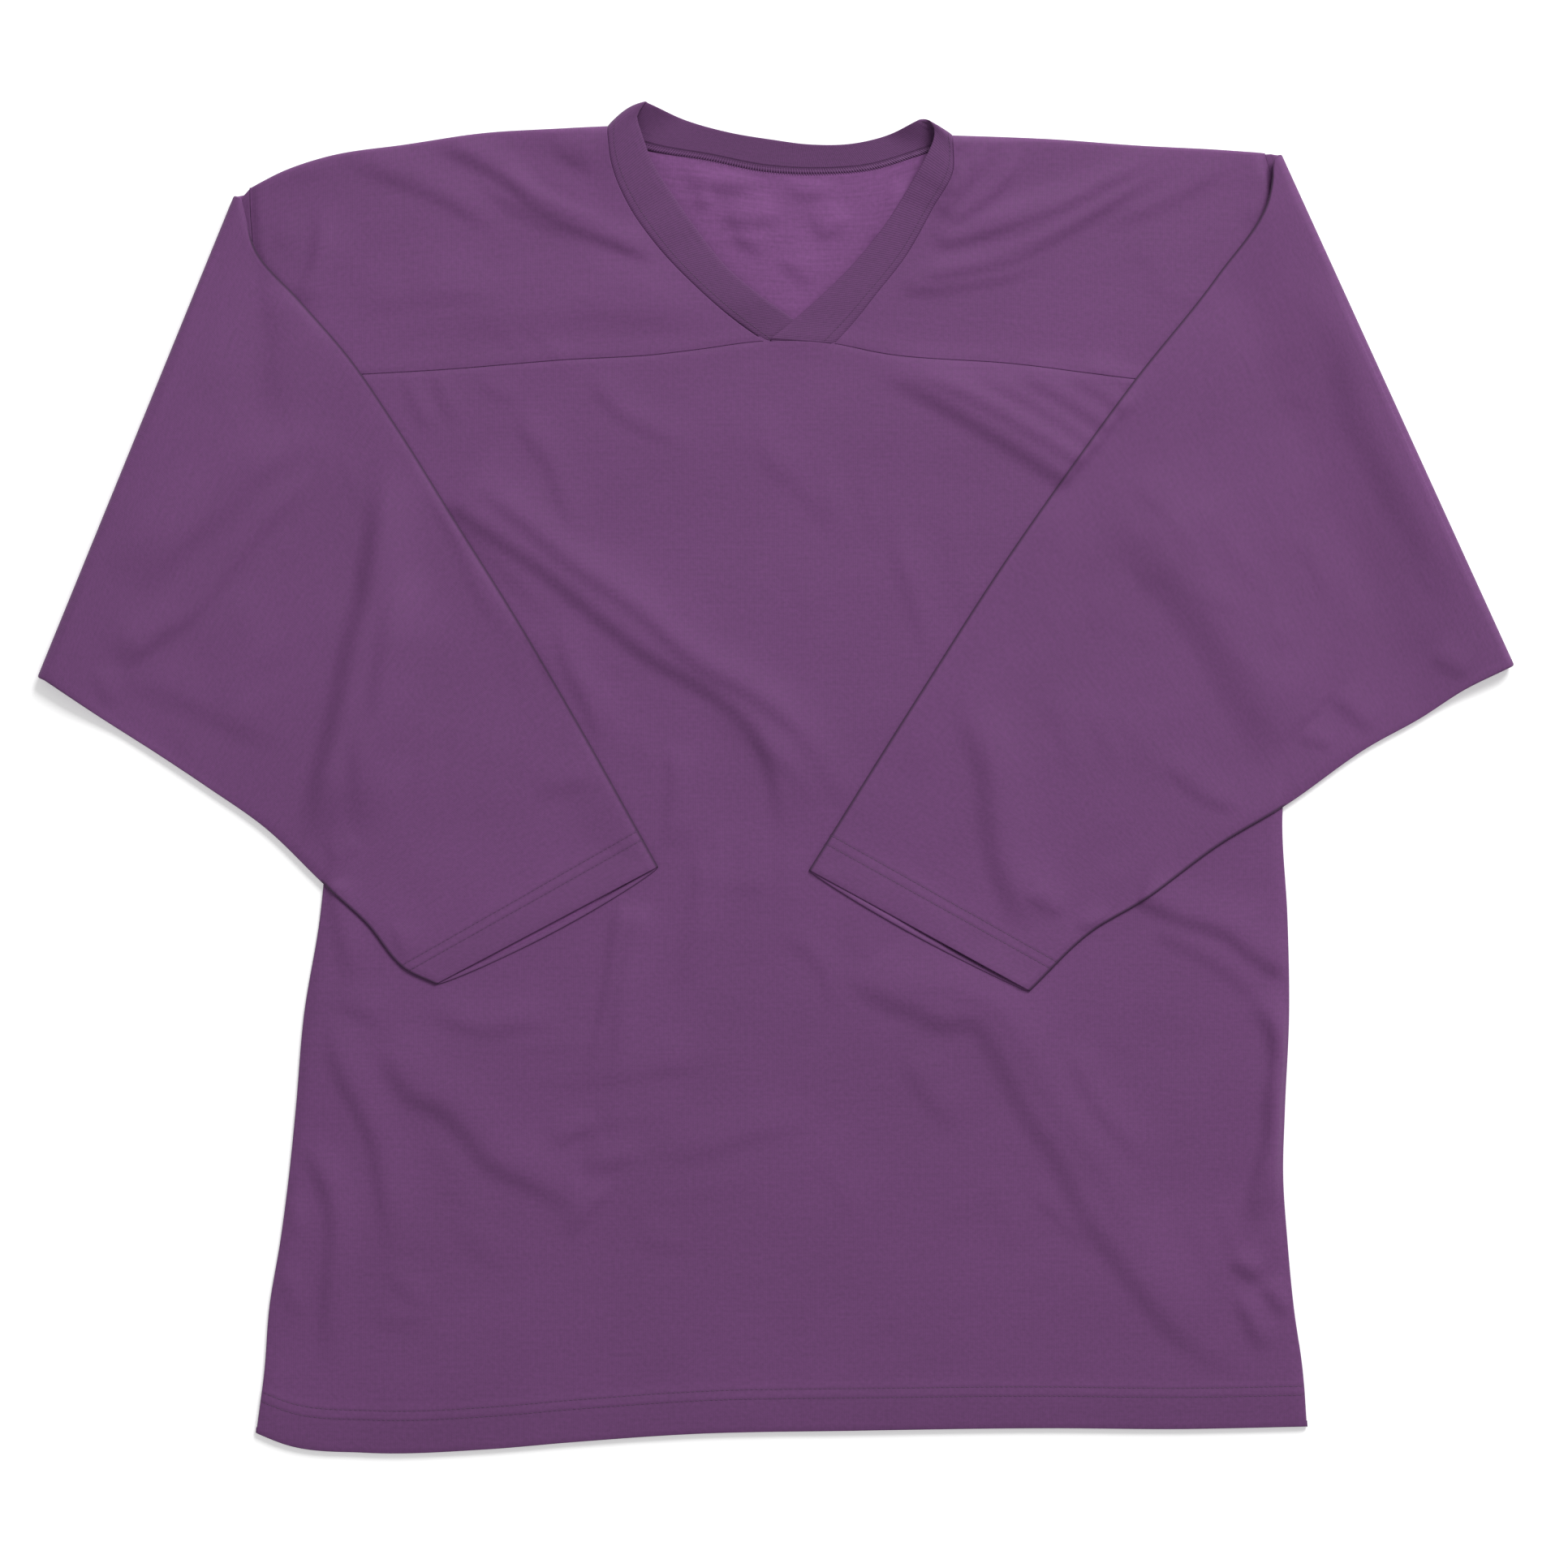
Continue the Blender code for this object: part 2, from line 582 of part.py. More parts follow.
def sleeve_side(form, depth):
    """Rings of the sleeve's wall, depth inside its outer side.

    A height in the flat tube becomes a radius about the bend's axis, so the back layer ends on top.
    """
    rings = []
    for plan, angle, from_cuff in form.rows():
        share, level, on_back = ring(np.hypot(*(plan(1.0) - plan(0.0))), depth)
        radius = FOLD_AXIS - level
        place = plan(share) + form.out * (radius * math.sin(angle))[:, None]
        height = radius * -math.cos(angle) + FOLD_AXIS
        if angle == math.pi:
            height -= SETTLE * soft((form.top - place) @ form.out / SETTLE_RUN)
            calm = soft(share / EDGE_CALM) * soft((1 - share) / EDGE_CALM)
            height += on_back * calm * folds(SLEEVE_FOLDS, *place.T)
            height += on_back * (depth == 0) * TURNED_UP * turned_up(from_cuff, CUFF_DEPTH)
            peek = CUFF_PEEK * (1 - on_back) * np.sin(math.pi * share) * soft(1 - from_cuff / PEEK_RUN)
            place = place + peek[:, None] * form.down
        rings.append(np.column_stack([place, height]))
    return np.array(rings)


def sleeve(name, cut, column):
    """Sleeve as one flat tube: out from the armhole, round the bend and back over the front."""
    form = SleeveForm(cut, column)
    outer, inner = sleeve_side(form, 0.0), sleeve_side(form, CLOTH)
    if column == "right":
        outer, inner = outer[:, ::-1], inner[:, ::-1]
    wall(name, outer, inner, PURPLE, ring=True)


def build():
    """Clear the scene and make every piece."""
    for item in list(bpy.data.objects):
        bpy.data.objects.remove(item, do_unlink=True)
    back_panel()
    front_panel()
    outer, inner, keep = yoke_sides()
    wall("yoke", outer, inner, PURPLE, keep)
    neckband(outer)
    sleeve("sleeve_left", LEFT_SLEEVE, "left")
    sleeve("sleeve_right", RIGHT_SLEEVE, "right")


build()
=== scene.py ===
"""Looks of a practice hockey jersey that lies flat on its back with both sleeves folded over the front.

Sizes and places are in millimetres, as measured on the table it lies on: +X to the viewer's right, +Y from
the hem to the neck, +Z up, table at Z = 0. They become metres when a mesh is made. Every piece of cloth
is a thin sheet, a grid of points worked out from the edges where it is cut and from the height at which
its layer lies, and gets its wall from a Solidify modifier. Stitches are rows of small capsules of thread.
"""

import logging
import math
from collections import namedtuple
from dataclasses import dataclass
from enum import Enum
from functools import partial
from typing import Any, Callable

import bpy
import numpy as np
from numpy.typing import NDArray
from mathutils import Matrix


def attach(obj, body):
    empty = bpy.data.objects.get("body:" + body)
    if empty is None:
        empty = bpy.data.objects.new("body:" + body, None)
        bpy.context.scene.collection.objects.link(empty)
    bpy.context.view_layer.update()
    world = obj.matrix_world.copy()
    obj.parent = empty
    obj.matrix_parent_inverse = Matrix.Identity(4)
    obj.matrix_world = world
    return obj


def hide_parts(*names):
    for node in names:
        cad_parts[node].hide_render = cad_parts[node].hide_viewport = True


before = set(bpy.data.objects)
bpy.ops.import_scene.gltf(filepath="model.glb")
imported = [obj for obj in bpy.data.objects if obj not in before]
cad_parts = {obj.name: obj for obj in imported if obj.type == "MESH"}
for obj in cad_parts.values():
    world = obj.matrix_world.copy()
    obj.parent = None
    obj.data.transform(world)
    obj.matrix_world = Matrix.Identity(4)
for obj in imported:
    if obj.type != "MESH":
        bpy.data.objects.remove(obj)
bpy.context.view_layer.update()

Array = NDArray[np.float64]
Point = tuple[float, float]
Colour = tuple[float, float, float]

LOG = logging.getLogger("jersey")
MM = 0.001

# --- Cloth and layers
WALL = 0.45              # knit of the body
RIB_WALL = 0.55          # rib of the neckband
PAIR = 2.8               # from outer side to outer side of two layers that lie on each other
PUFF = 1.1               # air that lifts the front
SHOULDER_RISE = 0.8      # the fold over the shoulders stands this much higher
SHOULDER_RUN = 30.0
NECK_RISE = 5.5          # the neck points stand up
NECK_REACH = 42.0
SEAM = 0.3               # between two pieces along a seam
ARM_SEAM = 0.08          # along the curved armholes
TURN = 0.65              # radius of a turned-up hem's edge
FINE = (0.0, 0.12, 0.4, 0.8, 1.4, 2.4, 4.0)   # closer stations beside an edge that is rolled or sewn
HEM_LINES = (24.5, 19.2)     # both rows of stitches, from the edge of the hem
CUFF_LINES = (24.0, 18.4)    # and from that of a cuff
HEM_BLEND = 4.0              # a turned-up hem ends over this run
SIDE_BLEND = 12.0            # a side seam rolls off over this run below the underarm
SIDE_GAP = 0.15              # between front and back at a side seam


def table(columns: str, *rows: Any) -> Any:
    """Short table with named columns; each column comes back as an array.

    Args:
        columns: names of the columns, parted by spaces.
        rows: one tuple of numbers for each row.

    Returns:
        A named tuple with one array for each column.
    """
    return namedtuple("Table", columns)(*np.array(rows, float).T)


# --- Outline of the body: side seams up to the underarm, armholes above it
BODY = table(
    "y left right",
    (-386, -307.5, 314.5),
    (-351, -303.0, 312.0),
    (-313, -300.0, 306.7),
    (-274, -293.5, 303.0),
    (-236, -288.5, 300.5),
    (-197, -284.5, 301.5),
    (-140, -279.5, 304.0),
    (-82, -270.0, 303.0),
    (-25, -265.5, 300.0),
    (34, -265.0, 304.5),
    (124, -278.0, 311.0),
    (200, -292.0, 313.0),
    (260, -302.0, 311.0),
    (300, -308.0, 306.0),
    (331, -311.0, 300.0),
    (369, -312.0, 289.5),
)
UNDERARM_Y = 34.0
HEM = table(
    "x y",
    (-307.5, -388), (-291, -394.5), (-243, -399.5), (-171, -397.5), (-123, -393.5),
    (-51, -388.5), (45, -386.5), (165, -385), (237, -385.5), (314.5, -384),
)
FRONT_SEAM = table(
    "x y",
    (-298, 235.5), (-243, 239), (-199, 241.5), (-123, 247.5), (-72, 250.5), (-47, 253.5),
    (-7, 258.5), (34.5, 257), (62, 251.5), (141, 245), (213.5, 236), (312.5, 228),
)
BACK_SEAM = table("x y", (-298, 238), (-150, 243), (0, 245), (150, 243), (312.5, 236))
SHOULDER_LEFT = table(
    "x y",
    (-311, 349.5), (-291, 359.5), (-267, 367.5), (-219, 375), (-171, 382), (-123, 384.5),
    (-99.5, 385.5),
)
SHOULDER_RIGHT = table(
    "x y", (104.5, 380), (165, 378), (213, 374.5), (261, 372), (289.5, 370),
)

# --- Neck: the seam where the band is sewn on, and the band's free edge
NECK_SEAM_LEFT = table(
    "x y",
    (-7, 258.5), (-22, 269), (-47, 290.5), (-72.5, 318), (-87, 339.5), (-97.5, 366.5), (-99.5, 384),
)
NECK_SEAM_RIGHT = table(
    "x y",
    (34.5, 257), (45.5, 269), (59, 286), (76, 308), (92.5, 338), (104.5, 361.5), (104.5, 379.5),
)
NECK_SEAM_BACK = table(
    "x y",
    (-99.5, 384), (-72.5, 375.5), (-39, 369.5), (-5, 363), (29, 361.5), (54, 363.5), (79, 370.5),
    (104.5, 379.5),
)
FREE_LEFT = table(
    "x y",
    (26, 259), (11, 271.5), (-7, 284), (-29, 302.5), (-47, 325), (-60.5, 344.5), (-73.4, 365),
    (-77.3, 375), (-80.4, 384.5), (-82, 390), (-79.5, 395.5), (-77.8, 397.8),
)
FREE_RIGHT = table(
    "x y",
    (-3, 260), (11, 271.5), (29, 287.5), (45.5, 304), (62.5, 324.5), (78.5, 349), (84.5, 359.5),
    (88, 366), (91.5, 373), (93.3, 378.5), (93.2, 384), (91, 387.2),
)
FREE_BACK = table(
    "x y",
    (-75.8, 398.8), (-51, 388.5), (-27, 382), (-3, 378), (21, 375), (45, 375.5), (69, 381.5),
    (84, 388.6),
)


class Hand(Enum):
    """Side of the jersey as the viewer sees it; the value is the sign of x there."""

    LEFT = -1.0
    RIGHT = 1.0


@dataclass(frozen=True)
class SleeveCut:
    """Edges of one folded sleeve: the outer edge of its bend, and both edges of what is turned back.

    shoulder_y is where it is sewn to the tip of the shoulder, and peek how far the under layer shows past
    the upper one in the middle of the cuff.
    """

    name: str
    hand: Hand
    shoulder_y: float
    bend: Any
    over_arm: Any
    under_arm: Any
    peek: float


LEFT_SLEEVE = SleeveCut(
    "sleeve_left",
    Hand.LEFT,
    shoulder_y=348.7,
    bend=table("x y", (-320.5, 344.5), (-436.8, 59.5)),
    over_arm=table(
        "x y",
        (-307, 312), (-281.5, 282.5), (-252.5, 249), (-226, 210.5), (-190, 153), (-151.5, 91.5),
        (-113, 25.5), (-69.5, -52.5),
    ),
    under_arm=table(
        "x y",
        (-395.5, 33), (-365, 13.5), (-336.5, -5.5), (-303, -29), (-267.5, -63), (-243, -85.5),
        (-219, -113.5), (-201, -122),
    ),
    peek=5.5,
)
RIGHT_SLEEVE = SleeveCut(
    "sleeve_right",
    Hand.RIGHT,
    shoulder_y=369.3,
    bend=table("x y", (299, 369), (436.8, 66.5)),
    over_arm=table(
        "x y",
        (291, 343), (261, 297), (213, 236.5), (174.5, 184), (136, 129), (83.5, 47.5), (19.5, -54.5),
    ),
    under_arm=table(
        "x y",
        (408, 52.5), (381, 35), (352, 19), (300.5, -17), (265, -38), (214.5, -74.5), (189, -89.5),
        (150, -126),
    ),
    peek=4.0,
)


# --- Curves and patches


def soft(value: Array) -> Array:
    """Smooth step from 0 to 1: three squares less two cubes of the value, held between its ends."""
    t = np.clip(value, 0.0, 1.0)
    return t * t * (3 - 2 * t)


def through(knots: Array, values: Array, at: Array) -> Array:
    """Smooth curve through a table's rows: cubic pieces that share their slope at each row.

    Args:
        knots: rising positions of the rows.
        values: value at each row.
        at: positions asked for.

    Returns:
        The curve's value at each position.
    """
    slope = np.gradient(values, knots)
    cell = np.clip(np.searchsorted(knots, at) - 1, 0, len(knots) - 2)
    span = knots[cell + 1] - knots[cell]
    t = np.clip((at - knots[cell]) / span, 0.0, 1.0)
    start = (1 + 2 * t) * (1 - t) ** 2 * values[cell] + t * (1 - t) ** 2 * span * slope[cell]
    end = t * t * (3 - 2 * t) * values[cell + 1] - t * t * (1 - t) * span * slope[cell + 1]
    return start + end


def along(edge: Any, share: Array) -> Array:
    """Points of an edge at the given shares of its length, as rows of x and y."""
    knots = np.concatenate([[0.0], np.cumsum(np.hypot(np.diff(edge.x), np.diff(edge.y)))])
    at = np.asarray(share) * knots[-1]
    return np.stack([through(knots, edge.x, at), through(knots, edge.y, at)], axis=-1)


def side(hand: Hand, y: Array) -> Array:
    """Body outline on one side at height y up the body."""
    return through(BODY.y, BODY.left if hand is Hand.LEFT else BODY.right, y)


def from_sides(x: Array, y: Array) -> Array:
    """Distance inside the nearer side of the body, negative outside it."""
    return np.minimum(x - side(Hand.LEFT, y), side(Hand.RIGHT, y) - x)


def body_edge(hand: Hand, low_y: float, high_y: float, up: Array) -> Array:
    """Points on one side of the body between two heights, at the given shares of the way up."""
    y = low_y + up * (high_y - low_y)
    return np.stack([side(hand, y), y], axis=1)


def patch(low: Array, high: Array, start: Array, end: Array, across: Array, up: Array) -> Array:
    """Surface between four edges: both ruled surfaces added, less the one through the corners.

    Args:
        low: lower edge, and high the upper one, both running across.
        high: see low.
        start: edge where across is 0, and end the one where it is 1, both running up.
        end: see start.
        across: shares across.
        up: shares up.

    Returns:
        Grid of plan points, rows by columns by 2.
    """
    u, v = across[None, :, None], up[:, None, None]
    ruled = (1 - v) * low[None] + v * high[None] + (1 - u) * start[:, None] + u * end[:, None]
    corners = (1 - v) * ((1 - u) * low[0] + u * low[-1]) + v * ((1 - u) * high[0] + u * high[-1])
    return ruled - corners


def stations(length: float, step: float, low: bool = False, high: bool = False) -> Array:
    """Distances from 0 to length in even steps, with closer ones beside the ends that ask for them."""
    fine = np.array(FINE)
    start, end = (fine[-1] if low else 0.0), length - (fine[-1] if high else 0.0)
    even = np.linspace(start, end, max(2, round((end - start) / step) + 1))
    return np.concatenate([fine[:-1] if low else [], even, length - fine[-2::-1] if high else []])


def roll(distance: Array, radius: float) -> Array:
    """Drop of a rolled edge: a quarter round that starts that far from it."""
    left = np.clip(radius - distance, 0.0, radius)
    return radius - np.sqrt(radius**2 - left**2)


def side_drop(x: Array, y: Array) -> Array:
    """Drop of a body panel's outer side towards its side seams: a rolled edge, below the underarms."""
    below = soft((UNDERARM_Y + SIDE_BLEND / 2 - y) / SIDE_BLEND)
    return below * roll(from_sides(x, y), PAIR / 2 - SIDE_GAP)


def turned_up(depth: float, distance: Array | float) -> Array:
    """1 on a turned-up hem of that depth and 0 past it: a smooth step of the distance from its edge."""
    return soft((depth + HEM_BLEND / 2 - distance) / HEM_BLEND)


def raised(plan: Array, height: Array) -> Array:
    """Plan points with their heights, as one grid of points in space."""
    return np.concatenate([plan, height[..., None]], axis=2)


def bell(distance: Array, width: float) -> Array:
    """Bell curve that is 1 at 0 and dies out within a few widths."""
    return np.exp(-((distance / width) ** 2))


def inside_of(outline: Array, x: Array, y: Array) -> Array:
    """Distance inside a closed outline, negative outside: the nearest side, signed by a crossing count.

    Args:
        outline: corners of the outline, one row each.
        x: plan positions.
        y: see x.

    Returns:
        Signed distance of each position.
    """
    point = np.stack([x.ravel(), y.ravel()], axis=1)
    start, run = outline, np.roll(outline, -1, axis=0) - outline
    away = point[:, None] - start
    t = np.clip((away * run).sum(2) / (run**2).sum(1), 0.0, 1.0)
    gap = np.linalg.norm(away - t[..., None] * run, axis=2).min(1)
    above = (start[:, 1] > point[:, 1:]) != (start[:, 1] + run[:, 1] > point[:, 1:])
    slope = np.where(run[:, 1] == 0, 1.0, run[:, 1])
    crossing = start[:, 0] + away[..., 1] * run[:, 0] / slope
    odd = (above & (point[:, :1] < crossing)).sum(1) % 2 == 1
    return np.where(odd, gap, -gap).reshape(x.shape)


# --- Creases


BELL_SHARE = 1.25        # width of the bell behind a crease, in runs of its gentle side
BELL_REACH = 2.5         # past which a crease adds nothing, in the same runs


@dataclass(frozen=True)
class Crease:
    """Soft fold that stands up on the left of its path: a steep side along the path, a gentle one behind.

    rise is its height, steep half the width of the steep side, back the run of the gentle side, and
    lead and trail are the shares of the path over which it comes up and dies away.
    """

    rise: float
    steep: float
    back: float
    lead: float
    trail: float
    path: tuple[Point, ...]

    def height(self, x: Array, y: Array) -> Array:
        """Height that the crease adds: a smooth step across its path, times a bell behind it.

        Args:
            x: plan positions.
            y: see x.

        Returns:
            The height at each position.
        """
        line = along(table("x y", *self.path), np.linspace(0.0, 1.0, 5 * len(self.path)))
        reach = self.steep + BELL_REACH * self.back
        low, high = line.min(0) - reach, line.max(0) + reach
        near = (x > low[0]) & (x < high[0]) & (y > low[1]) & (y < high[1])
        total = np.zeros_like(x)
        if not near.any():
            return total
        run = np.diff(line, axis=0)
        away = np.stack([x[near], y[near]], axis=1)[:, None] - line[:-1]
        t = np.clip((away * run).sum(2) / (run**2).sum(1), 0.0, 1.0)
        gap = np.linalg.norm(away - t[..., None] * run, axis=2)
        nearest = gap.argmin(1)
        row = np.arange(len(nearest))
        turn = run[nearest, 0] * away[row, nearest, 1] - run[nearest, 1] * away[row, nearest, 0]
        off = gap[row, nearest] * np.sign(turn)
        done = (nearest + t[row, nearest]) / len(run)
        shape = soft((off + self.steep) / (2 * self.steep))
        shape = shape * bell(np.maximum(off - self.steep, 0.0), BELL_SHARE * self.back)
        total[near] = self.rise * shape * soft(done / self.lead) * soft((1 - done) / self.trail)
        return total


@dataclass(frozen=True)
class Undulation:
    """Slow uneven rise and fall: cosine waves of seeded direction, length and phase, added up."""

    rise: float
    shortest: float
    longest: float
    seed: int
    waves: int = 14

    def height(self, x: Array, y: Array) -> Array:
        """Height of the undulation at each position."""
        draw = np.random.default_rng(self.seed)
        turn = draw.uniform(0.0, math.pi, self.waves)
        rate = 2 * math.pi / draw.uniform(self.shortest, self.longest, self.waves)
        start = draw.uniform(0.0, 2 * math.pi, self.waves)
        wave = x[..., None] * rate * np.cos(turn) + y[..., None] * rate * np.sin(turn) + start
        return self.rise * np.cos(wave).sum(-1) / math.sqrt(self.waves)


def stand_up(rows: tuple[Crease, ...], x: Array, y: Array) -> Array:
    """Height of a table of creases: the sum of its rows."""
    return sum((crease.height(x, y) for crease in rows), np.zeros_like(x))


def family(
    count: int, rise: float, steep: float, back: float, seed: int,
    first: tuple[Point, ...], last: tuple[Point, ...],
) -> tuple[Crease, ...]:
    """Creases side by side between two guide paths, uneven in height, width, spacing and length.

    Each path is a weighted mean of the two guides, cut short by a seeded share at both ends.

    Args:
        count: number of creases.
        rise: usual height.
        steep: usual half width of the steep side.
        back: usual run of the gentle side.
        seed: start of the random draws.
        first: path of the first crease, and last that of the last one, with as many points.
        last: see first.

    Returns:
        The creases.
    """
    draw = np.random.default_rng(seed)
    rows = []
    for number in range(count):
        share = (number + draw.uniform(-0.3, 0.3)) / max(count - 1, 1)
        path = (1 - share) * np.array(first, float) + share * np.array(last, float)
        ends = np.linspace(draw.uniform(0.0, 0.2), draw.uniform(0.8, 1.0), 7)
        path = along(table("x y", *path), ends)
        rows.append(Crease(
            rise * draw.uniform(0.55, 1.2), steep * draw.uniform(0.8, 1.25),
            back * draw.uniform(0.8, 1.3), 0.35, 0.4, tuple(map(tuple, path))))
    return tuple(rows)


def scattered(
    count: int, rise: float, corner: Point, far: Point, heading: float, spread: float, seed: int
) -> tuple[Crease, ...]:
    """Small creases at seeded places in a box, each a shallow arc near the heading.

    Args:
        count: number of creases.
        rise: usual height.
        corner: lowest corner of the box, and far the highest.
        far: see corner.
        heading: angle of the paths from +X in degrees.
        spread: how far they stray from it.
        seed: start of the random draws.

    Returns:
        The creases.
    """
    draw = np.random.default_rng(seed)
    rows = []
    for _ in range(count):
        angle = math.radians(heading + draw.uniform(-spread, spread))
        start = draw.uniform(corner, far)
        length, bow = draw.uniform(22.0, 64.0), draw.uniform(-0.12, 0.12)
        forward = np.array([math.cos(angle), math.sin(angle)])
        across = np.array([-forward[1], forward[0]])
        share = np.linspace(0.0, 1.0, 5)[:, None]
        path = start + length * (share * forward + bow * 4 * share * (1 - share) * across)
        rows.append(Crease(
            rise * draw.uniform(0.4, 1.2), draw.uniform(2.6, 4.6), draw.uniform(6.0, 12.0), 0.45, 0.45,
            tuple(map(tuple, path))))
    return tuple(rows)


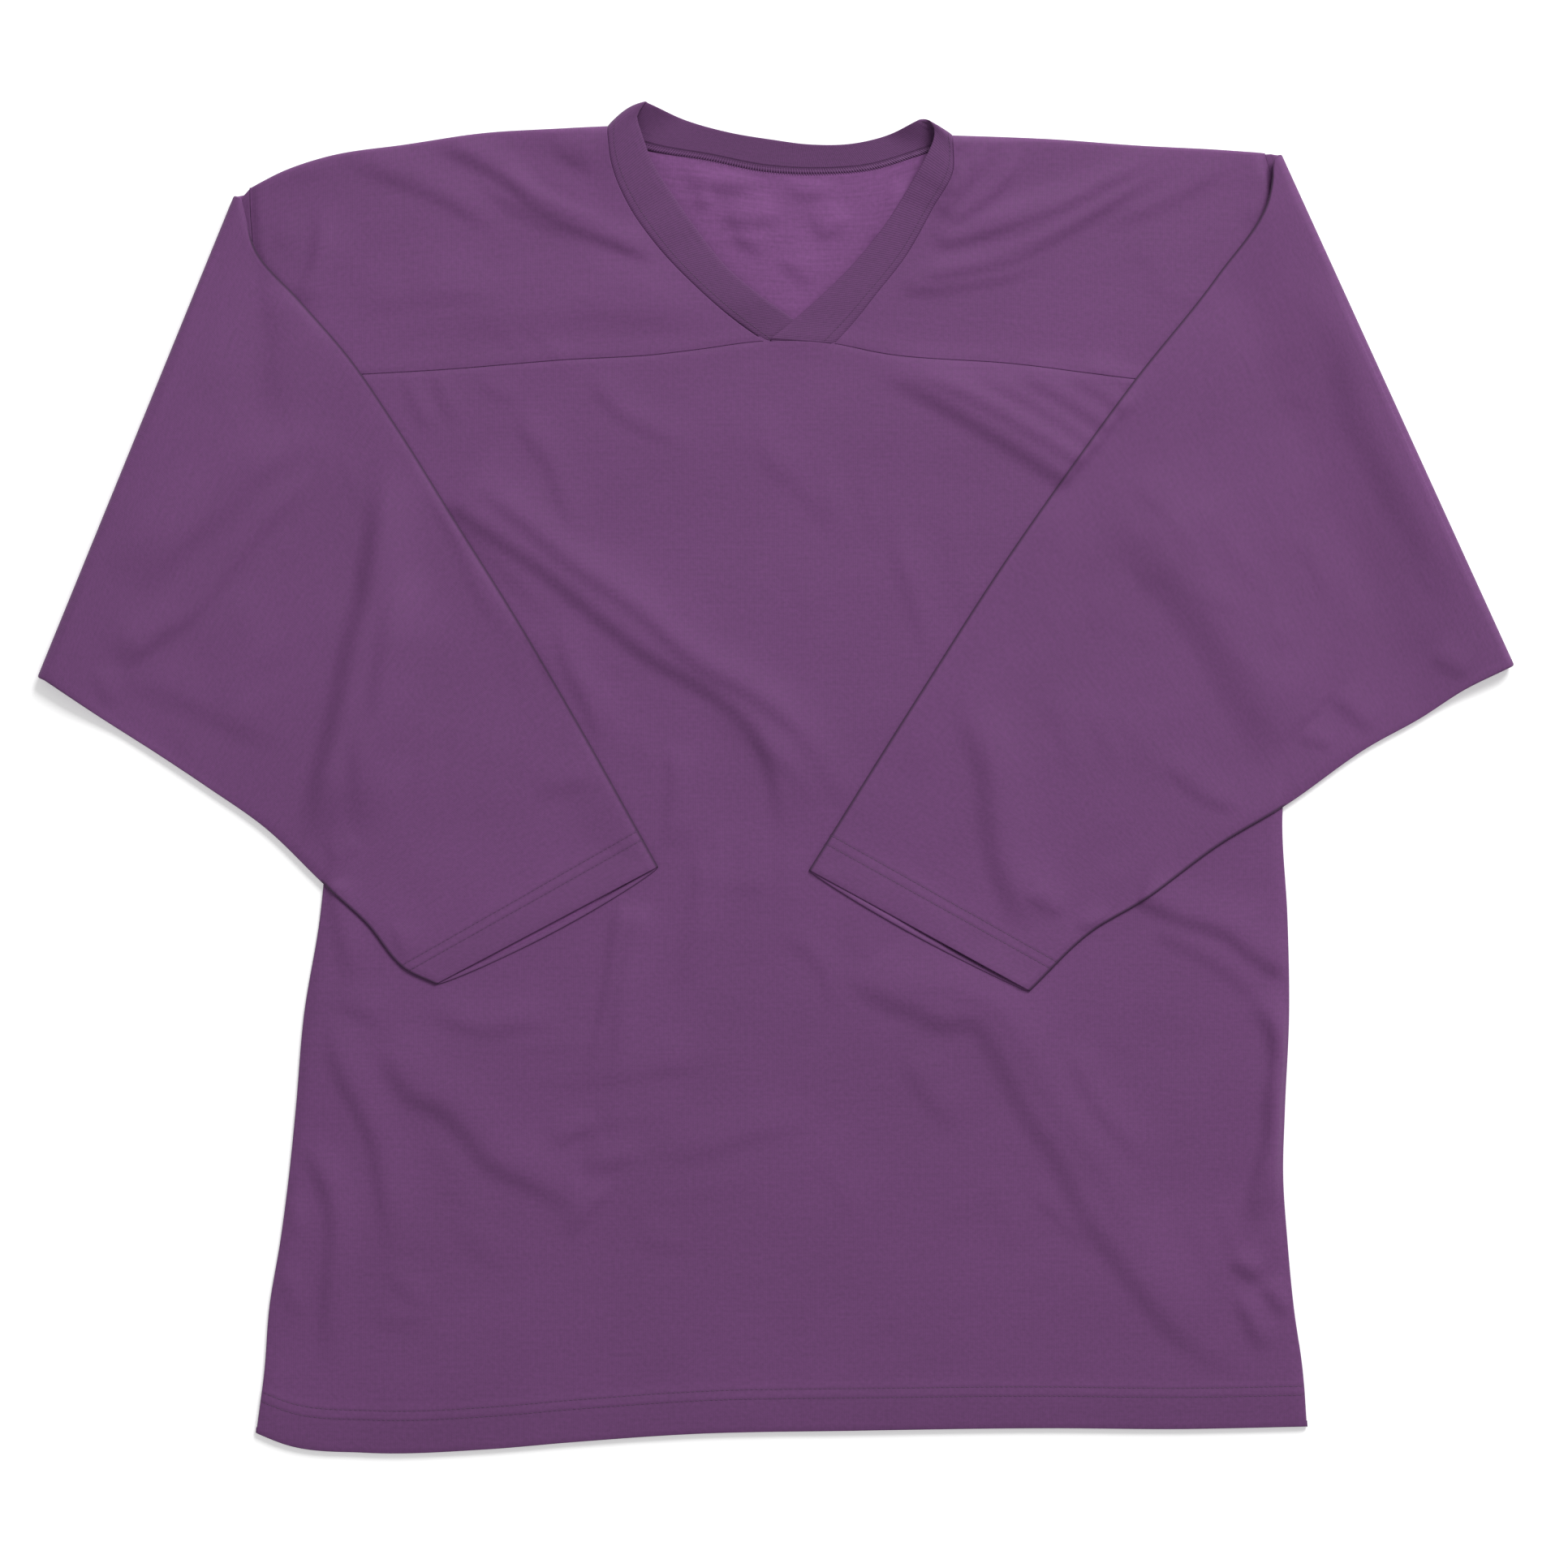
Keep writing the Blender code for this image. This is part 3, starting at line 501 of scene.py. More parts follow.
FRONT_CREASES = (
    # the long fold across the chest, and those beside it
    Crease(2.9, 5.0, 22, 0.04, 0.2, (
        (-198, 163), (-174, 146), (-137, 120), (-106, 94), (-75, 70), (-38, 48), (-14, 26), (-4, 4),
        (0, -20), (4, -48))),
    Crease(1.5, 3.6, 9, 0.12, 0.2, (
        (-184, 174), (-153, 151), (-122, 125), (-85, 99), (-49, 67), (-7, 42), (19, 18), (37, 0))),
    Crease(0.9, 4, 9, 0.5, 0.4, ((-60, 45), (-30, 30), (-6, 14), (14, -6), (28, -24))),
    Crease(0.8, 5, 12, 0.4, 0.4, ((5, 26), (20, 10), (36, -13), (44, -30))),
    Crease(1.0, 5, 12, 0.1, 0.5, ((-190, 150), (-168, 128), (-145, 104), (-128, 84))),
    # below the seam, right
    Crease(2.8, 5.5, 11, 0.35, 0.05, ((50, 241), (69, 234), (93, 222), (117, 208), (143, 192), (174, 171))),
    Crease(1.9, 4, 10, 0.3, 0.05, ((74, 239), (108, 227), (146, 206), (184, 182))),
    Crease(1.3, 3.4, 8, 0.3, 0.05, ((110, 240), (140, 226), (168, 209), (192, 192))),
    Crease(1.6, 3.6, 9, 0.3, 0.05, ((138, 238), (160, 228), (198, 203))),
    Crease(1.2, 3.2, 8, 0.3, 0.05, ((171, 236), (188, 228), (208, 213))),
    Crease(0.7, 3, 6, 0.3, 0.1, ((180, 240), (198, 236), (212, 229))),
    # below the seam, left
    Crease(1.0, 3.8, 9, 0.2, 0.45, (
        (-154, 222), (-149, 201), (-137, 186), (-130, 167), (-123, 150), (-99, 138))),
    Crease(0.9, 3.6, 9, 0.2, 0.45, ((-111, 242), (-104, 225), (-92, 213), (-70, 201), (-44, 189))),
    Crease(0.8, 3, 6, 0.2, 0.4, ((-203, 240), (-199, 224), (-190, 206))),
    Crease(0.8, 3, 6, 0.3, 0.4, ((-222, 240), (-216, 222), (-204, 200))),
    Crease(0.6, 3, 6, 0.3, 0.4, ((-178, 234), (-166, 226), (-148, 222))),
    Crease(0.6, 5, 12, 0.4, 0.45, ((-27, 203), (2, 179), (14, 168), (28, 148), (34, 128))),
    Crease(0.9, 4, 9, 0.4, 0.4, ((62, 152), (72, 124), (81, 95), (91, 62))),
    *family(6, 0.35, 3.8, 8, 21, ((-40, 238), (-34, 210), (-22, 180)), ((92, 170), (98, 130), (106, 92))),
    *family(4, 0.45, 3.6, 8, 22, ((-150, 96), (-136, 66), (-124, 30)), ((-96, 50), (-82, 22), (-72, -20))),
    # between the cuffs
    Crease(1.3, 3.6, 8, 0.3, 0.4, ((-132, 97), (-124, 62), (-116, 46), (-108, 28), (-99, 4))),
    Crease(1.1, 3.6, 9, 0.3, 0.3, ((-66, 24), (-63, -1), (-65, -25), (-68, -44))),
    Crease(1.9, 3.6, 8, 0.15, 0.45, (
        (-92, -68), (-97, -92), (-100, -116), (-104, -140), (-109, -159), (-114, -186))),
    Crease(1.6, 3.4, 7, 0.15, 0.45, ((-80, -70), (-88, -101), (-94, -135), (-97, -164), (-105, -192))),
    Crease(1.0, 3.6, 9, 0.3, 0.4, ((-50, -40), (-48, -68), (-56, -92), (-70, -112))),
    Crease(0.8, 3, 7, 0.3, 0.4, ((-42, -76), (-50, -98), (-64, -124))),
    Crease(0.6, 3.6, 9, 0.4, 0.4, ((-36, -72), (-20, -66), (0, -70))),
    Crease(0.9, 3.8, 9, 0.3, 0.4, ((-3, -96), (11, -100), (23, -111), (34, -145))),
    *family(5, 0.45, 3.6, 8, 23, ((-60, -10), (-52, -44), (-54, -84)), ((22, -30), (18, -62), (4, -98))),
    # lower right: the long bend towards the hem, and the folds by the side seam
    Crease(2.6, 7.2, 20, 0.12, 0.25, (
        (36, -104), (47, -123), (64, -133), (83, -140), (98, -147), (117, -147), (127, -160), (136, -178),
        (146, -198), (165, -226), (184, -265), (199, -284), (213, -303), (232, -327), (252, -343),
        (278, -353), (296, -352))),
    Crease(0.8, 6, 14, 0.2, 0.3, (
        (58, -118), (82, -126), (104, -128), (126, -138), (144, -160), (160, -190), (182, -222), (206, -262),
        (228, -296))),
    Crease(1.1, 5.5, 13, 0.3, 0.4, ((71, -160), (83, -183), (98, -202), (112, -214))),
    Crease(1.1, 4, 10, 0.3, 0.4, ((166, -152), (178, -176), (189, -197), (203, -214), (226, -240))),
    Crease(0.7, 3, 7, 0.3, 0.4, ((146, -240), (166, -262), (188, -284))),
    Crease(2.3, 4.6, 13, 0.05, 0.1, ((212, -72), (237, -84), (266, -94), (282, -107), (302, -120))),
    Crease(1.0, 4, 9, 0.1, 0.3, ((222, -92), (246, -104), (268, -118), (292, -142))),
    Crease(4.4, 5, 11, 0.2, 0.3, (
        (277, -130), (290, -146), (294, -162), (291, -188), (290, -212), (285, -232), (280, -252),
        (283, -272))),
    Crease(2.2, 3.4, 7, 0.4, 0.4, ((266, -284), (276, -292), (288, -300))),
    Crease(2.2, 3.6, 8, 0.4, 0.4, ((268, -302), (278, -322), (288, -344))),
    Crease(2.0, 3, 7, 0.4, 0.4, ((284, -298), (292, -308), (300, -322))),
    *family(4, 0.5, 3.6, 8, 24,
            ((238, -250), (252, -280), (262, -316)), ((276, -236), (286, -262), (292, -292))),
    # lower left: folds that run down from the underarm
    Crease(1.6, 4, 9, 0.1, 0.4, ((-266, -60), (-262, -82), (-257, -106), (-254, -126))),
    Crease(1.1, 5, 11, 0.3, 0.4, ((-262, -132), (-248, -140), (-230, -148))),
    Crease(2.1, 4.6, 11, 0.25, 0.35, (
        (-266, -136), (-264, -159), (-260, -174), (-248, -198), (-240, -217), (-236, -241), (-232, -265),
        (-230, -294))),
    Crease(2.4, 6.4, 18, 0.2, 0.3, (
        (-240, -150), (-228, -174), (-219, -188), (-200, -198), (-185, -212), (-171, -229), (-152, -239),
        (-132, -249), (-118, -256), (-102, -250))),
    Crease(1.2, 4.4, 10, 0.3, 0.4, ((-212, -134), (-195, -145), (-176, -151), (-147, -148), (-120, -151))),
    Crease(2.2, 4.2, 9, 0.2, 0.4, (
        (-284, -212), (-274, -231), (-267, -248), (-264, -270), (-266, -293), (-268, -327), (-266, -360))),
    Crease(1.1, 3, 6, 0.4, 0.4, ((-291, -244), (-289, -258), (-287, -274))),
    Crease(1.0, 3, 6, 0.4, 0.4, ((-294, -288), (-290, -304), (-288, -322))),
    Crease(1.0, 4.4, 9, 0.4, 0.4, ((-235, -286), (-219, -307), (-198, -316))),
    Crease(0.8, 4.4, 9, 0.4, 0.4, ((-240, -326), (-220, -324), (-200, -317))),
    Crease(1.3, 3.4, 8, 0.4, 0.4, ((-132, -222), (-118, -212), (-100, -206))),
    Crease(1.1, 3.6, 9, 0.4, 0.4, ((-117, -233), (-96, -230), (-76, -222))),
    Crease(1.5, 3, 7, 0.4, 0.4, ((-122, -276), (-108, -256), (-93, -240))),
    Crease(0.9, 5, 12, 0.4, 0.4, ((-74, -232), (-36, -222), (-12, -214), (26, -208))),
    Crease(0.8, 5.5, 13, 0.4, 0.4, ((-156, -184), (-104, -181), (-46, -174), (-22, -179))),
    Crease(0.6, 4.4, 10, 0.4, 0.4, ((-88, -273), (-68, -278), (-46, -280))),
    *family(5, 0.4, 4.4, 9, 25,
            ((-170, -168), (-120, -166), (-66, -160)), ((-96, -256), (-50, -248), (6, -240))),
    *family(4, 0.5, 4, 9, 26,
            ((-214, -214), (-196, -232), (-168, -250)), ((-200, -262), (-180, -282), (-150, -296))),
    # left of the yoke
    Crease(2.1, 3.6, 9, 0.15, 0.15, (
        (-206, 374), (-180, 364), (-161, 352), (-147, 340), (-123, 326), (-99, 316), (-68, 304))),
    Crease(1.6, 4.4, 11, 0.3, 0.35, ((-262, 364), (-238, 357), (-204, 344), (-182, 332), (-160, 318))),
    Crease(0.8, 3.6, 9, 0.5, 0.4, ((-307, 338), (-291, 351), (-257, 360))),
    *family(5, 1.0, 3.4, 7, 27,
            ((-126, 380), (-114, 370), (-100, 362)), ((-196, 366), (-140, 330), (-82, 309))),
    *family(4, 0.5, 3.8, 8, 28,
            ((-140, 304), (-104, 300), (-64, 296)), ((-130, 276), (-84, 272), (-34, 266))),
    Crease(1.7, 3.8, 8, 0.5, 0.2, ((-271, 342), (-273, 316), (-279, 295), (-288, 284))),
    Crease(0.6, 3.2, 7, 0.6, 0.4, ((-288, 338), (-292, 326), (-300, 314))),
    Crease(0.5, 3.4, 8, 0.6, 0.4, ((-256, 334), (-260, 312), (-268, 296))),
    Crease(1.2, 9, 22, 0.3, 0.3, ((-232, 262), (-171, 267), (-100, 269), (-20, 264))),
    Crease(0.9, 6, 14, 0.3, 0.3, ((-250, 274), (-210, 282), (-160, 284))),
    # right of the yoke
    Crease(1.9, 3.2, 7, 0.08, 0.3, (
        (92, 313), (117, 318), (141, 326), (165, 335), (189, 347), (213, 358), (237, 371))),
    Crease(1.6, 3.2, 7, 0.1, 0.3, (
        (80, 294), (117, 300), (141, 306), (165, 317), (189, 331), (213, 346), (250, 366))),
    Crease(1.1, 3.2, 7, 0.1, 0.4, ((74, 286), (112, 290), (144, 297), (172, 311))),
    Crease(1.2, 4, 10, 0.3, 0.3, ((190, 322), (226, 336), (256, 352), (276, 366))),
    Crease(1.5, 3, 6, 0.15, 0.35, ((98, 330), (111, 346), (121, 360), (126, 377))),
    Crease(1.5, 3.2, 6, 0.15, 0.35, ((101, 325), (126, 341), (141, 357), (146, 376))),
    Crease(1.2, 3, 6, 0.2, 0.35, ((103, 341), (110, 352), (113, 368))),
    Crease(0.9, 5, 11, 0.3, 0.3, ((284, 368), (280, 350), (274, 326))),
    *family(5, 0.9, 2.6, 5, 29, ((98, 320), (140, 332), (190, 356)), ((84, 300), (150, 316), (240, 366))),
    *scattered(30, 0.3, (-240, -250), (230, 190), -48, 42, seed=31),
    *scattered(14, 0.3, (-250, 262), (240, 350), -20, 45, seed=32),
)

LEFT_SLEEVE_CREASES = (
    Crease(5.4, 7.4, 15, 0.25, 0.2, (
        (-230, 192), (-236, 172), (-240, 143), (-245, 110), (-254, 76), (-261, 42), (-268, 14), (-275, -15),
        (-281, -42))),
    Crease(3.8, 6.6, 13, 0.3, 0.3, (
        (-222, 130), (-231, 90), (-236, 62), (-240, 38), (-248, 18), (-250, -10), (-247, -38))),
    Crease(0.6, 3.8, 8, 0.3, 0.3, ((-264, -52), (-254, -47), (-243, -40))),
    Crease(3.6, 8.5, 20, 0.3, 0.3, ((-380, 102), (-344, 138), (-320, 160), (-300, 179), (-266, 199))),
    Crease(2.6, 4.4, 12, 0.12, 0.3, (
        (-388, 62), (-368, 78), (-344, 95), (-324, 119), (-300, 148), (-265, 186))),
    Crease(0.9, 7, 14, 0.2, 0.3, ((-394, 58), (-363, 46), (-334, 35), (-315, 26), (-281, 17))),
    Crease(0.8, 3.6, 8, 0.3, 0.4, ((-404, 66), (-399, 50), (-388, 40))),
    Crease(1.8, 9, 18, 0.3, 0.4, ((-303, 299), (-299, 268), (-299, 244), (-304, 208))),
    Crease(0.8, 4.6, 12, 0.3, 0.4, ((-212, 178), (-190, 138), (-176, 105), (-150, 72))),
    Crease(1.0, 4.4, 10, 0.4, 0.4, ((-144, -14), (-128, -8), (-102, -3))),
    Crease(0.9, 3.6, 8, 0.3, 0.3, ((-227, -85), (-224, -99), (-218, -110))),
    *family(4, 0.5, 4.4, 10, 41,
            ((-352, 60), (-322, 96), (-292, 132)), ((-330, 20), (-296, 46), (-272, 66))),
    *family(4, 0.4, 4.4, 10, 42,
            ((-214, 60), (-214, 20), (-222, -30)), ((-150, 40), (-156, 4), (-170, -40))),
    *scattered(12, 0.35, (-380, 40), (-180, 240), -70, 40, seed=43),
)
RIGHT_SLEEVE_CREASES = (
    Crease(3.6, 13, 26, 0.3, 0.25, (
        (184, 160), (210, 136), (234, 108), (251, 86), (263, 66), (274, 44), (284, 26), (294, 12), (306, 4))),
    Crease(3.0, 11, 22, 0.3, 0.3, (
        (312, 296), (328, 260), (340, 216), (357, 178), (376, 144), (392, 114), (410, 86))),
    Crease(1.1, 4, 9, 0.3, 0.2, ((384, 72), (394, 66), (408, 58))),
    Crease(1.2, 4.4, 9, 0.3, 0.3, ((326, 49), (338, 38), (354, 24))),
    Crease(0.9, 3.6, 8, 0.3, 0.3, ((307, 22), (318, 20), (330, 16))),
    Crease(1.2, 4.4, 11, 0.3, 0.3, ((225, 11), (242, -5), (256, -15), (280, -21))),
    Crease(3.0, 7.4, 15, 0.45, 0.2, (
        (106, 64), (110, 34), (121, 4), (124, -25), (129, -53), (136, -70), (145, -94))),
    Crease(1.1, 3.8, 8, 0.3, 0.3, ((146, -68), (158, -77), (172, -83))),
    Crease(1.0, 3.6, 8, 0.3, 0.3, ((175, -86), (186, -90), (198, -90))),
    *family(4, 0.6, 5, 11, 44, ((206, 180), (240, 146), (262, 108)), ((300, 150), (318, 120), (330, 84))),
    *family(3, 0.5, 4.4, 10, 45, ((150, 60), (166, 26), (176, -16)), ((190, 50), (208, 22), (224, -10))),
    *scattered(12, 0.35, (170, 30), (370, 250), -60, 40, seed=46),
)
BACK_CREASES = (
    Crease(0.5, 6, 20, 0.3, 0.3, ((-210, 170), (-120, 110), (-40, 60), (20, 10))),
    Crease(0.5, 6, 18, 0.3, 0.3, ((60, 210), (130, 180), (200, 140))),
    Crease(0.5, 7, 22, 0.3, 0.3, ((240, -90), (180, -190), (150, -260), (70, -340))),
    Crease(0.4, 6, 18, 0.3, 0.3, ((-250, -110), (-190, -190), (-150, -260))),
    Crease(0.4, 5, 16, 0.3, 0.3, ((-60, -120), (-90, -200), (-80, -280))),
)
INSIDE_BACK_CREASES = (
    Crease(2.0, 4, 9, 0.3, 0.3, ((-58, 352), (-44, 350), (-26, 348), (-8, 350))),
    Crease(1.8, 4.4, 8, 0.4, 0.4, ((-52, 344), (-44, 339), (-34, 341))),
    Crease(2.3, 4.4, 10, 0.3, 0.3, ((-36, 334), (-24, 328), (-10, 328), (6, 336))),
    Crease(1.9, 4.2, 9, 0.3, 0.4, ((-28, 322), (-18, 315), (-6, 309))),
    Crease(1.4, 4.6, 10, 0.3, 0.4, ((0, 308), (10, 299), (24, 289))),
    Crease(2.0, 4.4, 10, 0.3, 0.4, ((22, 318), (34, 323), (48, 334))),
    Crease(1.4, 4, 9, 0.3, 0.4, ((2, 348), (20, 344), (40, 348))),
    Crease(2.4, 5, 7, 0.3, 0.3, ((70, 358), (68, 346), (62, 330), (52, 316))),
)


# --- How the layers lie


@dataclass(frozen=True)
class Lay:
    """Heights at which the layers lie on each other."""

    edge_fade: float = 6.0       # creases and air die out this far from a side seam
    hem_fade: float = 30.0       # and this far from the hem,
    hem_share: float = 0.3       # which a share of them reaches
    calm: float = 34.0           # the front is calm this far inside a sleeve that covers it
    calm_puff: float = 0.05      # the air that stays under it
    drift: Undulation = Undulation(0.42, 70.0, 190.0, seed=4)
    ripple: Undulation = Undulation(0.09, 18.0, 44.0, seed=9)

    def outline(self, cut: SleeveCut) -> Array:
        """Closed outline of a sleeve's turned-back part."""
        share = np.linspace(0.0, 1.0, 16)
        ends = np.array([cut.bend.x, cut.bend.y]).T
        over, under = along(cut.over_arm, share), along(cut.under_arm, share)
        return np.concatenate([ends[:1], over, under[::-1], ends[1:]])

    def under_sleeve(self, x: Array, y: Array) -> Array:
        """1 well under a turned-back sleeve, 0 clear of it: a smooth step of the distance inside."""
        inside = np.maximum(
            inside_of(self.outline(LEFT_SLEEVE), x, y), inside_of(self.outline(RIGHT_SLEEVE), x, y)
        )
        return soft(inside / self.calm)

    def front(self, x: Array, y: Array) -> Array:
        """Height of the front's outer side: two layers, and the air, creases and ripples that lift it.

        Args:
            x: plan positions.
            y: see x.

        Returns:
            Height above the table.
        """
        from_hem = y - through(HEM.x, HEM.y, x)
        fade = soft(from_sides(x, y) / self.edge_fade) * soft(self.hem_share + from_hem / self.hem_fade)
        top_line = np.where(x < 0, through(SHOULDER_LEFT.x, SHOULDER_LEFT.y, x),
                            through(SHOULDER_RIGHT.x, SHOULDER_RIGHT.y, x))
        shoulder = SHOULDER_RISE * soft(1 - (top_line - y) / SHOULDER_RUN)
        neck = NECK_RISE * (
            bell(np.hypot(x - SHOULDER_LEFT.x[-1], y - SHOULDER_LEFT.y[-1]), NECK_REACH)
            + bell(np.hypot(x - SHOULDER_RIGHT.x[0], y - SHOULDER_RIGHT.y[0]), NECK_REACH)
        )
        hidden = self.under_sleeve(x, y)
        free = PUFF + stand_up(FRONT_CREASES, x, y) + self.drift.height(x, y) + self.ripple.height(x, y)
        return PAIR + fade * (hidden * self.calm_puff + (1 - hidden) * (free + shoulder) + neck)


LAY = Lay()


# --- Meshes


def make_mesh(name: str, points: Array, quads: NDArray[np.int64]) -> bpy.types.Object:
    """New object from points in millimetres and four-cornered faces.

    Args:
        name: name of the piece.
        points: one row for each vertex.
        quads: one row of four vertex numbers for each face.

    Returns:
        The object, at the origin, with smooth faces.
    """
    used, quads = np.unique(quads, return_inverse=True)
    quads = quads.reshape(-1, 4)
    mesh = bpy.data.meshes.new(name)
    mesh.vertices.add(len(used))
    mesh.vertices.foreach_set("co", (points[used] * MM).astype(np.float32).ravel())
    mesh.loops.add(quads.size)
    mesh.loops.foreach_set("vertex_index", quads.astype(np.int32).ravel())
    mesh.polygons.add(len(quads))
    mesh.polygons.foreach_set("loop_start", np.arange(0, quads.size, 4, dtype=np.int32))
    mesh.update(calc_edges=True)
    mesh.polygons.foreach_set("use_smooth", np.ones(len(quads), bool))
    piece = bpy.data.objects.new(name, mesh)
    bpy.context.scene.collection.objects.link(piece)
    return piece


def sheet_piece(
    name: str,
    grid: Array,
    flat: Array,
    wall: float,
    ring: bool = False,
    keep: NDArray[np.bool_] | None = None,
    marks: dict[str, Array] | None = None,
) -> bpy.types.Object:
    """Sheet of cloth from the grid of points of its outer side, with its wall on the inner side.

    Args:
        name: name of the piece.
        grid: points in millimetres, rows by columns by 3, outer side facing across x up.
        flat: place of each point on the uncut cloth in millimetres, rows by columns by 2.
        wall: thickness of the cloth.
        ring: whether the last column meets the first.
        keep: cells that have cloth.
        marks: named values for each point, such as its distance from a hem.

    Returns:
        The piece, with a UV map in metres of cloth and one attribute for each mark.
    """
    rows, columns = grid.shape[:2]
    number = np.arange(rows * columns).reshape(rows, columns)
    if ring:
        number = np.concatenate([number, number[:, :1]], axis=1)
    quads = np.stack([number[:-1, :-1], number[:-1, 1:], number[1:, 1:], number[1:, :-1]], axis=-1)
    quads = quads.reshape(-1, 4) if keep is None else quads[keep]
    piece = make_mesh(name, grid.reshape(-1, 3), quads)
    flat_width = flat[..., 0].max() - flat[..., 0].min()
    corner = flat.reshape(-1, 2)[quads]
    if ring:
        corner[..., 0] += flat_width * (corner[..., 0] < corner[..., :1, 0] - flat_width / 2)
    layer = piece.data.uv_layers.new(name="Cloth")
    layer.data.foreach_set("uv", (corner * MM).astype(np.float32).ravel())
    used = np.unique(quads)
    for mark, values in (marks or {}).items():
        attribute = piece.data.attributes.new(mark, "FLOAT", "POINT")
        attribute.data.foreach_set("value", values.ravel()[used].astype(np.float32))
    solid = piece.modifiers.new("Wall", "SOLIDIFY")
    solid.thickness = wall * MM
    solid.offset = -1.0
    solid.material_offset = 1
    return piece


def dress(
    piece: bpy.types.Object, node: str, *finishes: bpy.types.Material, stands_for: bool = True
) -> None:
    """Gives a piece its finishes and its place on the body, and lets it stand for a node.

    Args:
        piece: the piece.
        node: node whose imported part it hides when it stands for it.
        finishes: its materials, that of the outer side first.
        stands_for: whether it takes the node's place.
    """
    for finish in finishes:
        piece.data.materials.append(finish)
    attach(piece, "root")
    if stands_for:
        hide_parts(node)


def row_at(grid: Array, distance: Array, at: float) -> Array:
    """Line across a grid at a distance between two of its rows, by straight interpolation."""
    order = np.argsort(distance, kind="stable")
    spot = np.clip(np.searchsorted(distance[order], at), 1, len(distance) - 1)
    low, high = order[spot - 1], order[spot]
    t = (at - distance[low]) / (distance[high] - distance[low])
    return (1 - t) * grid[low] + t * grid[high]


# --- Shading


class Nodes:
    """Short way to add nodes to a tree and join them."""

    def __init__(self, tree: bpy.types.NodeTree) -> None:
        """Keeps the tree that the nodes go into."""
        self.tree = tree

    def add(self, kind: str, **settings: Any) -> bpy.types.Node:
        """New node of a kind, with its settings made."""
        node = self.tree.nodes.new(kind)
        for name, value in settings.items():
            setattr(node, name, value)
        return node

    def put(self, socket: bpy.types.NodeSocket, value: Any) -> None:
        """Joins a socket to an output, or sets it to a constant."""
        if isinstance(value, bpy.types.NodeSocket):
            self.tree.links.new(value, socket)
        elif value is not None:
            socket.default_value = value

    def math(self, operation: str, first: Any, second: Any = None) -> bpy.types.NodeSocket:
        """Output of a Math node."""
        node = self.add("ShaderNodeMath", operation=operation)
        self.put(node.inputs[0], first)
        self.put(node.inputs[1], second)
        return node.outputs[0]

    def noise(self, vector: Any, scale: float, detail: float = 2.0) -> bpy.types.NodeSocket:
        """Factor of a Noise Texture."""
        node = self.add("ShaderNodeTexNoise")
        self.put(node.inputs["Vector"], vector)
        node.inputs["Scale"].default_value = scale
        node.inputs["Detail"].default_value = detail
        return node.outputs["Fac"]

    def stretch(self, vector: Any, scale: tuple[float, float, float]) -> bpy.types.NodeSocket:
        """Vector with each part scaled."""
        node = self.add("ShaderNodeVectorMath", operation="MULTIPLY")
        self.put(node.inputs[0], vector)
        node.inputs[1].default_value = scale
        return node.outputs[0]

    def mix(self, share: Any, first: Any, second: Any) -> bpy.types.NodeSocket:
        """Colour between two colours."""
        node = self.add("ShaderNodeMix", data_type="RGBA")
        self.put(node.inputs["Factor"], share)
        self.put(node.inputs["A"], first)
        self.put(node.inputs["B"], second)
        return node.outputs["Result"]

    def scaled(self, value: Any, factor: Any, offset: Any) -> bpy.types.NodeSocket:
        """A value times a factor, plus an offset."""
        return self.math("ADD", self.math("MULTIPLY", value, factor), offset)

    def mark(self, name: str) -> bpy.types.NodeSocket:
        """Value of one of the piece's marks."""
        return self.add("ShaderNodeAttribute", attribute_name=name).outputs["Fac"]

    def bump(self, height: Any, strength: float, depth: float, normal: Any = None) -> bpy.types.NodeSocket:
        """Normal of a height, on top of another normal where one is given; depth is in millimetres."""
        node = self.add("ShaderNodeBump")
        node.inputs["Strength"].default_value = strength
        node.inputs["Distance"].default_value = depth * MM
        self.put(node.inputs["Height"], height)
        self.put(node.inputs["Normal"], normal)
        return node.outputs["Normal"]

    def group(self, group: bpy.types.NodeTree, **values: Any) -> bpy.types.Node:
        """Group node with its inputs joined or set; underscores stand for spaces."""
        node = self.add("ShaderNodeGroup", node_tree=group)
        for name, value in values.items():
            self.put(node.inputs[name.replace("_", " ")], value)
        return node


def new_material(name: str) -> tuple[bpy.types.Material, Nodes, Any]:
    """New material, with its nodes to add to and its shader's inputs."""
    made = bpy.data.materials.new(name)
    made.use_nodes = True
    return made, Nodes(made.node_tree), made.node_tree.nodes["Principled BSDF"].inputs


def new_group(name: str, inputs: dict[str, str], outputs: tuple[str, ...]) -> tuple[Nodes, Any, Any]:
    """Empty shader node group with named sockets.

    Args:
        name: name of the group.
        inputs: socket name to its kind, "Float" or "Vector".
        outputs: names of the outputs, all plain values.

    Returns:
        The nodes to add to, the inputs' sockets and the outputs' sockets.
    """
    tree = bpy.data.node_groups.new(name, "ShaderNodeTree")
    for socket, kind in inputs.items():
        tree.interface.new_socket(socket, in_out="INPUT", socket_type="NodeSocket" + kind)
    for socket in outputs:
        tree.interface.new_socket(socket, in_out="OUTPUT", socket_type="NodeSocketFloat")
    nodes = Nodes(tree)
    return nodes, nodes.add("NodeGroupInput").outputs, nodes.add("NodeGroupOutput").inputs


